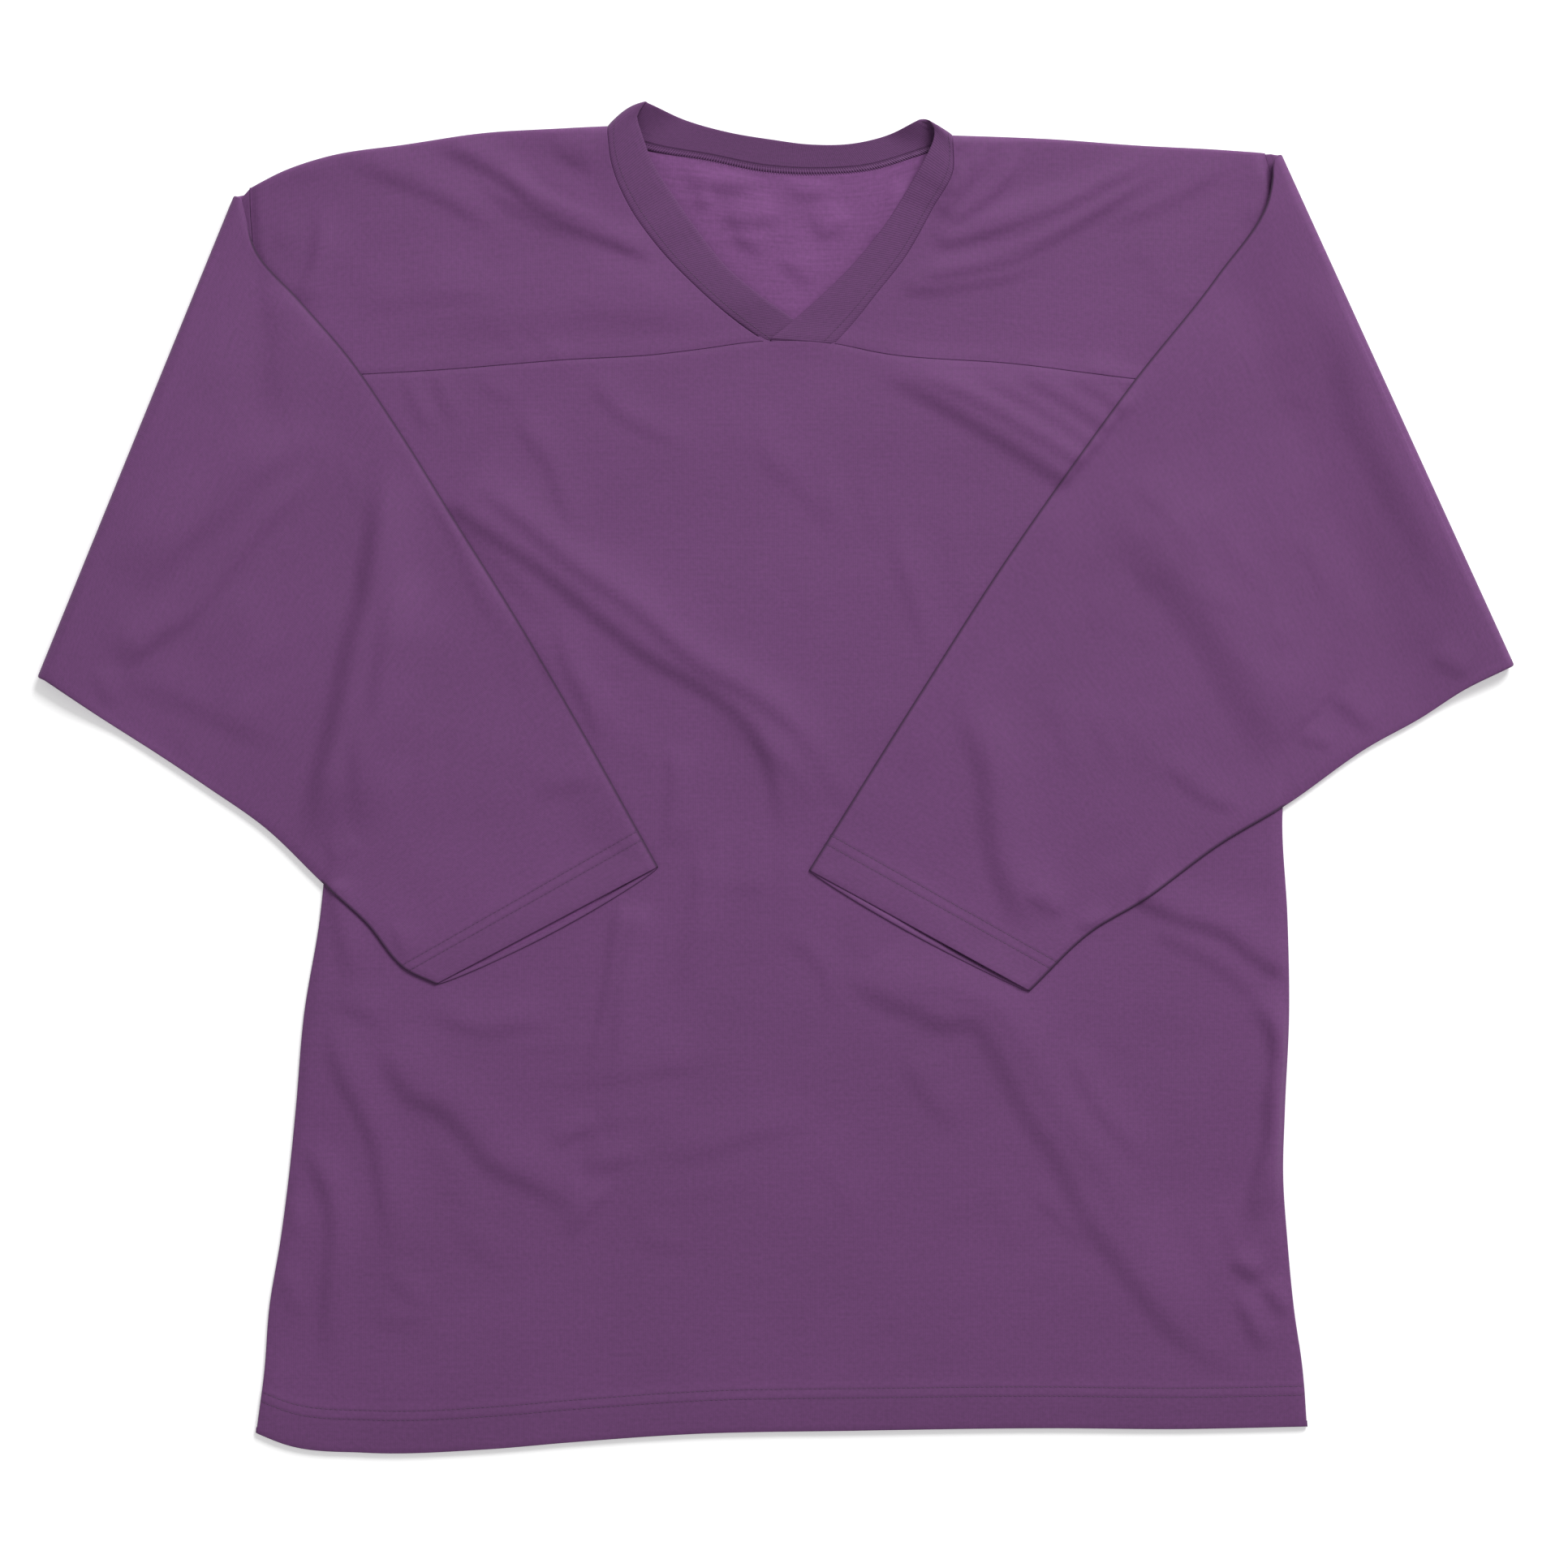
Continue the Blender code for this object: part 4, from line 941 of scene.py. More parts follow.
def knit_group() -> bpy.types.NodeTree:
    """Knit stitches: cords along the wales, each made of loops that lean to both sides.

    Height is the root of the wale's sine, times a part that follows the loops' sine along the course.
    """
    nodes, given, made = new_group(
        "Knit stitches", {"Vector": "Vector", "Wale": "Float", "Course": "Float"}, ("Height",))
    parts = nodes.add("ShaderNodeSeparateXYZ")
    nodes.put(parts.inputs[0], given["Vector"])
    across = nodes.math("DIVIDE", parts.outputs[0], given["Wale"])
    up = nodes.math("DIVIDE", parts.outputs[1], given["Course"])
    lean = nodes.math("ABSOLUTE", nodes.math("SUBTRACT", nodes.math("FRACT", across), 0.5))
    cord = nodes.math("ABSOLUTE", nodes.math("SINE", nodes.math("MULTIPLY", across, math.pi)))
    loop = nodes.math("MULTIPLY", nodes.scaled(lean, 1.4, up), math.pi)
    loop = nodes.scaled(nodes.math("ABSOLUTE", nodes.math("SINE", loop)), 0.5, 0.5)
    nodes.put(made["Height"], nodes.math("MULTIPLY", nodes.math("SQRT", cord), loop))
    return nodes.tree


def yarn_group() -> bpy.types.NodeTree:
    """Uneven yarn: streaks along the courses, fine specks, and a slow drift of tone."""
    nodes, given, made = new_group("Uneven yarn", {"Vector": "Vector"}, ("Streak", "Speck", "Drift"))
    streak = nodes.noise(nodes.stretch(given["Vector"], (40.0, 620.0, 1.0)), 1.0, 3.0)
    nodes.put(made["Streak"], streak)
    nodes.put(made["Speck"], nodes.noise(given["Vector"], 420.0, 3.0))
    nodes.put(made["Drift"], nodes.noise(given["Vector"], 9.0, 2.0))
    return nodes.tree


EULER = 2.718            # a bell's base


def pucker_group() -> bpy.types.NodeTree:
    """Pucker beside a stitched line: small waves along the line that die out on both sides of it.

    Height is the sine of the run along the line, times a bell of the distance from it, less a groove: the
    same bell to the ninth power. That narrow bell also comes out on its own, as the mask of the painted shade
    in the groove.
    """
    nodes, given, made = new_group(
        "Stitched pucker",
        {"Distance": "Float", "Run": "Float", "Line": "Float", "Width": "Float", "Wave": "Float"},
        ("Height", "Groove shade"))
    off = nodes.math("DIVIDE", nodes.math("SUBTRACT", given["Distance"], given["Line"]), given["Width"])
    square = nodes.math("MULTIPLY", off, off)
    fade = nodes.math("POWER", EULER, nodes.math("MULTIPLY", square, -1.0))
    wander = nodes.noise(nodes.stretch(given["Run"], (0.05, 0.05, 0.05)), 1.0)
    turn = nodes.math("ADD", nodes.math("DIVIDE", given["Run"], given["Wave"]), wander)
    wave = nodes.math("SINE", nodes.math("MULTIPLY", turn, 2 * math.pi))
    narrow = nodes.math("POWER", fade, 9.0)
    wave = nodes.math("MULTIPLY", wave, nodes.math("MULTIPLY", fade, 0.3))
    nodes.put(made["Height"], nodes.math("SUBTRACT", wave, narrow))
    nodes.put(made["Groove shade"], narrow)
    return nodes.tree


FOLD_SHADOW_WIDTH = 1.4         # of the painted shadow line along a sleeve's fold that lies on the front
# near-black purple of that painted shadow line
FOLD_SHADOW_COLOUR = (0.040, 0.013, 0.045, 1.0)
PUCKER_WIDTH = 3.0       # of the puckers beside a line of stitches
PUCKER_WAVE = 6.5        # from one pucker to the next
DOUBLE_PAST = 0.6        # the doubled cloth of a hem ends this far past its line of stitches


@dataclass(frozen=True)
class KnitFinish:
    """Finish of a knit: its colour, the size of its stitches and how it takes the light."""

    name: str
    colour: Colour
    light: Colour
    wale: float = 0.75           # width of one wale
    course: float = 0.6          # height of one course
    relief: float = 0.12         # depth of the stitches
    fuzz: float = 0.25           # depth of the loose fibres
    pucker_relief: float = 0.1   # depth of the puckers
    streaks: float = 0.6         # share of the yarn's streaks in the tone
    roughness: float = 0.72
    sheen: float = 0.06
    hem_lines: tuple[float, ...] = ()
    painted_fold_shade: float = 0.0      # painted shade: how far the colour darkens right on a sleeve's fold that lies on the front, for its contact shadow

    def material(self, groups: dict[str, bpy.types.NodeTree]) -> bpy.types.Material:
        """Node material of the finish.

        Args:
            groups: the shared effects by name.

        Returns:
            The material.
        """
        made, nodes, shader = new_material(self.name)
        cloth = nodes.add("ShaderNodeUVMap", uv_map="Cloth").outputs["UV"]
        knit = nodes.group(groups["knit"], Vector=cloth, Wale=self.wale * MM, Course=self.course * MM)
        yarn = nodes.group(groups["yarn"], Vector=cloth)
        puckers = [
            nodes.group(
                groups["pucker"], Distance=nodes.mark("from_hem"), Run=nodes.mark("run"), Line=line,
                Width=PUCKER_WIDTH, Wave=PUCKER_WAVE)
            for line in self.hem_lines
        ]
        tone = self.tone(nodes, knit, yarn, puckers)
        colour = nodes.mix(tone, (*self.colour, 1.0), (*self.light, 1.0))
        # painted shade: the colour goes towards a near-black purple along a sleeve's folded edge that lies on
        # the front, standing in for its contact shadow
        if self.painted_fold_shade:
            beside = nodes.math("MINIMUM", nodes.math("DIVIDE", nodes.mark("from_fold"), FOLD_SHADOW_WIDTH), 1.0)
            shade = nodes.math("MULTIPLY", nodes.math("SUBTRACT", 1.0, beside), self.painted_fold_shade)
            colour = nodes.mix(shade, colour, FOLD_SHADOW_COLOUR)
        normal = nodes.bump(knit.outputs["Height"], 0.6, self.relief)
        normal = nodes.bump(yarn.outputs["Speck"], 0.35, self.fuzz, normal)
        for pucker in puckers:
            normal = nodes.bump(pucker.outputs["Height"], 0.5, self.pucker_relief, normal)
        nodes.put(shader["Base Color"], colour)
        nodes.put(shader["Normal"], normal)
        nodes.put(shader["Roughness"], nodes.scaled(yarn.outputs["Speck"], 0.16, self.roughness - 0.08))
        shader["Specular IOR Level"].default_value = 0.35
        shader["Sheen Weight"].default_value = self.sheen
        shader["Sheen Roughness"].default_value = 0.45
        return made

    def tone(
        self, nodes: Nodes, knit: bpy.types.Node, yarn: bpy.types.Node, puckers: list[bpy.types.Node]
    ) -> bpy.types.NodeSocket:
        """Share of the light colour: a half, plus each effect less a half times its share.

        Doubled cloth at a hem is a little darker. The groove of its stitches is darkened as painted shade,
        and the knit's height paints shade between its loops.

        Args:
            nodes: the material's nodes.
            knit: the knit's group.
            yarn: the yarn's group.
            puckers: one group for each line of hem stitches.

        Returns:
            The share.
        """
        tone = 0.5
        # the yarn's streaks, specks and drift are its own tone; the knit's height adds painted shade in the
        # gaps between loops and painted light on their tops
        for source, share in (
            (yarn.outputs["Streak"], self.streaks), (yarn.outputs["Speck"], 1.5),
            (yarn.outputs["Drift"], 0.6), (knit.outputs["Height"], 0.3),
        ):
            tone = nodes.scaled(nodes.math("SUBTRACT", source, 0.5), share, tone)
        for line, pucker in zip(self.hem_lines, puckers):
            doubled = nodes.math("LESS_THAN", nodes.mark("from_hem"), line + DOUBLE_PAST)
            tone = nodes.math("SUBTRACT", tone, nodes.math("MULTIPLY", doubled, 0.06))
            # painted shade in the groove of each line of stitches
            tone = nodes.math("SUBTRACT", tone, nodes.math("MULTIPLY", pucker.outputs["Groove shade"], 0.5))
        return tone


@dataclass(frozen=True)
class ThreadFinish:
    """Finish of sewing thread: smooth, with a twist along it."""

    name: str
    colour: Colour

    def material(self) -> bpy.types.Material:
        """Node material of the thread: its tone changes a little from stitch to stitch."""
        made, nodes, shader = new_material(self.name)
        tone = nodes.noise(nodes.add("ShaderNodeTexCoord").outputs["Object"], 600.0)
        dark = tuple(0.7 * part for part in self.colour)
        nodes.put(shader["Base Color"], nodes.mix(tone, (*dark, 1.0), (*self.colour, 1.0)))
        nodes.put(shader["Roughness"], nodes.scaled(tone, 0.2, 0.4))
        return made


class Finishes:
    """All materials of the jersey."""

    def __init__(self) -> None:
        """Builds the shared groups once, then every material."""
        groups = {"knit": knit_group(), "yarn": yarn_group(), "pucker": pucker_group()}
        body = {"colour": (0.121, 0.0400, 0.133), "light": (0.160, 0.0525, 0.176)}
        self.body = KnitFinish("Jersey knit", **body).material(groups)
        self.hemmed = KnitFinish("Jersey knit with hem", **body, hem_lines=HEM_LINES).material(groups)
        # finish of the sleeves, with a painted shadow line along their folds that lie on the front
        self.cuffed = KnitFinish(
            "Jersey knit with cuff", **body, hem_lines=CUFF_LINES, painted_fold_shade=0.85,
        ).material(groups)
        self.inside = KnitFinish(
            "Jersey knit inside", (0.143, 0.047, 0.156), (0.197, 0.066, 0.216), streaks=1.3, roughness=0.8,
        ).material(groups)
        self.rib = KnitFinish(
            "Neckband rib", (0.105, 0.0345, 0.116), (0.136, 0.0450, 0.150), wale=1.3, course=0.7, relief=0.3,
        ).material(groups)
        self.thread = ThreadFinish("Sewing thread", (0.105, 0.039, 0.116)).material()
        self.pale_thread = ThreadFinish("Overlock thread", (0.21, 0.078, 0.23)).material()


# --- Stitches


@dataclass(frozen=True)
class StitchRow:
    """Row of machine stitches: short capsules of thread laid end to end along a line."""

    name: str
    pitch: float = 2.9
    length: float = 2.4
    radius: float = 0.2
    sides: int = 6

    def template(self) -> tuple[Array, NDArray[np.int64]]:
        """One stitch at the origin along its first axis: rings whose radius is a root of a sine."""
        share = np.array([0.0, 0.12, 0.35, 0.65, 0.88, 1.0])
        turn = np.linspace(0.0, 2 * math.pi, self.sides, endpoint=False)
        ring = self.radius * np.sqrt(np.sin(math.pi * np.clip(share, 0.02, 0.98)))
        start = np.broadcast_to((share[:, None] - 0.5) * self.length, (len(share), self.sides))
        points = np.stack([start, ring[:, None] * np.cos(turn), ring[:, None] * np.sin(turn)], axis=-1)
        number = np.arange(points.shape[0] * self.sides).reshape(len(share), self.sides)
        around = np.roll(number, -1, axis=1)
        quads = np.stack([number[:-1], around[:-1], around[1:], number[1:]], axis=-1).reshape(-1, 4)
        halves = ([0, 1, 2, 3], [0, 3, 4, 5])
        caps = [number[0, half][::-1] for half in halves] + [number[-1, half] for half in halves]
        return points.reshape(-1, 3), np.concatenate([quads, np.array(caps)])

    def build(self, lines: list[Array]) -> bpy.types.Object:
        """Stitches along every line, as one mesh.

        Args:
            lines: points that each row of stitches follows, in millimetres.

        Returns:
            The piece.
        """
        points, quads = self.template()
        placed: list[Array] = []
        for line in lines:
            run = np.concatenate([[0.0], np.cumsum(np.linalg.norm(np.diff(line, axis=0), axis=1))])
            at = np.arange(self.pitch / 2, run[-1], self.pitch)
            centre, ahead, behind = (
                np.stack([np.interp(at + d, run, line[:, k]) for k in range(3)], axis=1)
                for d in (0.0, 0.5 * self.length, -0.5 * self.length)
            )
            forward = ahead - behind
            forward /= np.linalg.norm(forward, axis=1, keepdims=True)
            across = np.cross([0.0, 0.0, 1.0], forward)
            upward = np.cross(forward, across)
            frames = np.stack([forward, across, upward], axis=1)
            placed.append(centre[:, None] + points @ frames)
        every = np.concatenate(placed)
        count = np.arange(len(every))[:, None, None] * len(points)
        return make_mesh(self.name, every.reshape(-1, 3), (quads[None] + count).reshape(-1, 4))


# --- Body panels

LIP = ((3.5, 2 * TURN), (TURN, 2 * TURN), (0.29 * TURN, 1.71 * TURN), (0.0, TURN), (0.29 * TURN, 0.29 * TURN))


def hem_stations(length: float, step: float) -> tuple[Array, Array]:
    """Rows of a hemmed panel: round the turned-up edge first, then up to its seam.

    Returns:
        Distance of each row from the hem's edge, and how far it is tucked under.
    """
    lip = np.array(LIP)
    up = TURN + stations(length - TURN, step, high=True)
    return np.concatenate([lip[:, 0], up]), np.concatenate([lip[:, 1], np.zeros(len(up))])


def panel_plan(seam: Any, seam_x: Array, drop: Array | float, distance: Array) -> Array:
    """Plan of a body panel from the hem to a yoke seam: a patch between its four edges.

    Args:
        seam: upper edge.
        seam_x: positions of the columns along it.
        drop: how far the panel ends below the seam's line.
        distance: distance of each row from the hem.

    Returns:
        Plan points, rows by columns by 2.
    """
    across = (seam_x - seam_x[0]) / (seam_x[-1] - seam_x[0])
    up = distance / (seam.y[0] - HEM.y[0])
    hem_x = HEM.x[0] + across * (HEM.x[-1] - HEM.x[0])
    low = np.stack([hem_x, through(HEM.x, HEM.y, hem_x)], axis=1)
    high = np.stack([seam_x, through(seam.x, seam.y, seam_x) - drop], axis=1)
    start, end = (body_edge(hand, low[index, 1], high[index, 1], up)
                  for hand, index in ((Hand.LEFT, 0), (Hand.RIGHT, -1)))
    ends = [body_edge(hand, low[index, 1], high[index, 1], np.array([0.0, 1.0]))
            for hand, index in ((Hand.LEFT, 0), (Hand.RIGHT, -1))]
    low[0], high[0], low[-1], high[-1] = *ends[0], *ends[1]
    return patch(low, high, start, end, across, up)


@dataclass
class FrontPanel:
    """Front of the body, from the turned-up hem to the yoke seam."""

    finishes: Finishes
    step: float = 3.0
    length: float = 623.5        # from the hem's corner to the seam's, on the left
    hem_rise: float = 0.6        # the turned-up hem stands this much higher
    hem_depth: float = 25.0
    under_yoke: float = 3.0      # the panel goes on this far under the yoke's edge
    seam_drop: float = 0.5       # and sinks this much to get there
    seam_slope: float = 1.2
    tip_x: float = 13.8          # middle of the V's tip, where the neckband's ends go under the panel
    tip_half: float = 19.0
    tip_blend: float = 2.5
    tip_roll: float = 0.2
    tip_rise: float = 0.6        # the band's ends lift the panel here
    tip_reach: float = 14.0

    def build(self) -> list[bpy.types.Object]:
        """Sheet of the front, with its stitched hem.

        Returns:
            The panel and its two rows of hem stitches.
        """
        distance, tuck = hem_stations(self.length, self.step)
        width = FRONT_SEAM.x[-1] - FRONT_SEAM.x[0]
        columns = FRONT_SEAM.x[0] + stations(width, self.step, low=True, high=True)
        beside_tip = soft((np.abs(columns - self.tip_x) - self.tip_half) / self.tip_blend)
        ends_at = SEAM + beside_tip * (-self.under_yoke - SEAM)
        plan = panel_plan(FRONT_SEAM, columns, ends_at, distance)
        x, y = plan[..., 0], plan[..., 1]
        top = LAY.front(x, y) - side_drop(x, y)
        past_seam = y - through(FRONT_SEAM.x, FRONT_SEAM.y, x)
        top = top - self.seam_drop * beside_tip * soft((past_seam + self.seam_slope) / self.seam_slope)
        over_tip = bell((x - self.tip_x) / self.tip_half, 1.0) * soft(1 + past_seam / self.tip_reach)
        top = top + self.tip_rise * over_tip
        top = top - (1 - beside_tip) * roll(np.maximum(-SEAM - past_seam, 0.0), self.tip_roll)
        height = top + self.hem_rise * turned_up(self.hem_depth, distance[:, None]) - tuck[:, None]
        grid = raised(plan, height)
        from_hem = np.where(tuck > TURN, -1.0, distance)[:, None] + 0 * x
        panel = sheet_piece("front", grid, plan, WALL, marks={"from_hem": from_hem, "run": x - x.min()})
        dress(panel, "front_panel", self.finishes.hemmed, self.finishes.inside)
        open_grid, open_rows = grid[len(LIP):], distance[len(LIP):]
        lines = [row_at(open_grid, open_rows, at)[3:-3] for at in HEM_LINES]
        stitches = StitchRow("front_hem_stitches").build(lines)
        dress(stitches, "front_panel", self.finishes.thread, stands_for=False)
        return [panel, stitches]


@dataclass
class BackPanel:
    """Back of the body, flat on the table under everything."""

    finishes: Finishes
    step: float = 6.0
    length: float = 626.0
    edge_fade: float = 20.0      # creases die out this far from a side seam

    def build(self) -> list[bpy.types.Object]:
        """Sheet of the back, its outer side down, with its turned-up hem, whose lines of stitches are only in
        its finish.

        Returns:
            The panel.
        """
        distance, tuck = hem_stations(self.length, self.step)
        width = BACK_SEAM.x[-1] - BACK_SEAM.x[0]
        columns = BACK_SEAM.x[0] + stations(width, self.step, low=True, high=True)
        plan = panel_plan(BACK_SEAM, columns, SEAM, distance)
        x, y = plan[..., 0], plan[..., 1]
        lift = stand_up(BACK_CREASES, x, y) * soft(from_sides(x, y) / self.edge_fade)
        grid = raised(plan, side_drop(x, y) + tuck[:, None] + lift * (tuck[:, None] == 0))
        marks = {"from_hem": distance[:, None] + 0 * x, "run": x - x.min()}
        marks = {name: values[:, ::-1] for name, values in marks.items()}
        panel = sheet_piece("back", grid[:, ::-1], plan[:, ::-1], WALL, marks=marks)
        dress(panel, "back_panel", self.finishes.hemmed, self.finishes.inside)
        return [panel]


# --- Yoke


@dataclass
class Yoke:
    """Yoke over both shoulders: two wings in front, one strip behind, folded along the shoulders."""

    finishes: Finishes
    step: float = 2.8
    bend_rows: int = 9
    seam_roll: float = 0.25
    neck_roll: float = 0.35
    allowance: float = 0.25      # the seam allowances under it lift its edge this much
    allowance_width: float = 3.5
    wing_rise: float = 118.0     # of a front wing, from its seam to the shoulder
    back_drop: float = 142.0     # from the shoulder to the seam behind
    neck_columns: int = 72
    run_column: int = 5          # its length, from seam to seam, gives the cloth's run
    calm_below_band: float = 7.0    # no creases under the seam allowance of the neckband
    calm_run: float = 8.0

    def wing(self, hand: Hand) -> tuple[Array, Array, Array]:
        """Front wing, from its seam up to where the shoulder bends over.

        Returns:
            Plan, height of the outer side, and radius of the bend at each column.
        """
        left = hand is Hand.LEFT
        shoulder, neck_seam = (
            (SHOULDER_LEFT, NECK_SEAM_LEFT) if left else (SHOULDER_RIGHT, NECK_SEAM_RIGHT))
        ends = (FRONT_SEAM.x[0], NECK_SEAM_LEFT.x[0]) if left else (NECK_SEAM_RIGHT.x[0], FRONT_SEAM.x[-1])
        seam_x = ends[0] + stations(ends[1] - ends[0], self.step, low=True, high=True)
        across = (seam_x - seam_x[0]) / (seam_x[-1] - seam_x[0])
        low = np.stack([seam_x, through(FRONT_SEAM.x, FRONT_SEAM.y, seam_x)], axis=1)
        high = along(shoulder, across)
        radius = LAY.front(high[:, 0], high[:, 1]) / 2
        high[:, 1] -= radius
        up = stations(self.wing_rise, self.step, low=True) / self.wing_rise
        arm_end, neck_end = (0, -1) if left else (-1, 0)
        arm = body_edge(hand, low[arm_end, 1], high[arm_end, 1], up)
        neck = along(neck_seam, up)
        neck = neck + (high[neck_end] - neck[-1]) * up[:, None] ** 3
        low[arm_end], high[arm_end] = arm[0], arm[-1]
        neck[0] = low[neck_end]
        start, end = (arm, neck) if left else (neck, arm)
        plan = patch(low, high, start, end, across, up)
        x, y = plan[..., 0], plan[..., 1]
        from_seam = up[:, None] * self.wing_rise + 0 * x
        seam_lift = self.allowance * bell(from_seam - self.allowance_width, self.allowance_width)
        height = LAY.front(x, y) + seam_lift
        from_neck = np.abs(seam_x - seam_x[neck_end])
        height = height - roll(from_seam, self.seam_roll) - roll(from_neck, self.neck_roll)
        height[-1] = 2 * radius - roll(from_neck, self.neck_roll)
        return plan, height, radius

    def build(self) -> list[bpy.types.Object]:
        """Sheet of the yoke.

        Returns:
            The yoke, and keeps the edge that the neckband is sewn to.
        """
        left, left_top, left_radius = self.wing(Hand.LEFT)
        right, right_top, right_radius = self.wing(Hand.RIGHT)
        count = self.neck_columns
        neck = along(NECK_SEAM_BACK, np.linspace(0.0, 1.0, count + 1))
        neck[0], neck[-1] = left[-1, -1], right[-1, 0]
        top = np.concatenate([left[-1], neck[1:-1], right[-1]])
        radius = np.concatenate([left_radius, np.full(count - 1, WALL), right_radius])
        across = (top[:, 0] - top[0, 0]) / (top[-1, 0] - top[0, 0])
        down = stations(self.back_drop, self.step, high=True) / self.back_drop
        seam_x = BACK_SEAM.x[0] + across * (BACK_SEAM.x[-1] - BACK_SEAM.x[0])
        seam = np.stack([seam_x, through(BACK_SEAM.x, BACK_SEAM.y, seam_x)], axis=1)
        edges = []
        for hand, index in ((Hand.LEFT, 0), (Hand.RIGHT, -1)):
            edge = body_edge(hand, top[index, 1], seam[index, 1], down)
            top[index], seam[index] = edge[0], edge[-1]
            edges.append(edge)
        behind = patch(top, seam, edges[0], edges[1], across, down)
        behind_height = stand_up(INSIDE_BACK_CREASES, behind[..., 0], behind[..., 1])
        below_band = down[:, None] * self.back_drop - self.calm_below_band
        behind_height = behind_height * soft(below_band / self.calm_run)
        gap = np.repeat(neck[None, 1:-1], len(left), axis=0)
        before = np.concatenate([left, gap, right], axis=1)
        before_height = np.concatenate([left_top, np.zeros(gap.shape[:2]), right_top], axis=1)
        turn = np.linspace(0.0, math.pi, self.bend_rows + 1)[1:-1, None]
        bend = np.stack([
            np.broadcast_to(top[None, :, 0], (len(turn), len(top))),
            top[None, :, 1] + radius * np.sin(turn),
            radius + radius * np.cos(turn),
        ], axis=2)
        grid = np.concatenate([raised(before, before_height), bend, raised(behind, behind_height)])
        first_neck, last_neck = left.shape[1] - 1, left.shape[1] - 1 + count
        legs = len(left) + len(turn)
        keep = np.ones((len(grid) - 1, grid.shape[1] - 1), bool)
        keep[:legs, first_neck:last_neck] = False
        self.neck_edge = np.concatenate([
            grid[:legs, first_neck], grid[legs, first_neck:last_neck + 1], grid[legs - 1::-1, last_neck],
        ])
        self.neck_counts = (len(left), len(turn), count)
        column = grid[:, self.run_column]
        run = np.cumsum(np.linalg.norm(np.diff(column, axis=0, prepend=column[:1]), axis=1))
        flat = np.stack([grid[..., 0], run[:, None] + 0 * grid[..., 0]], axis=2)
        yoke = sheet_piece("yoke_cloth", grid, flat, WALL, keep=keep)
        dress(yoke, "yoke", self.finishes.body, self.finishes.inside)
        return [yoke]


# --- Neckband


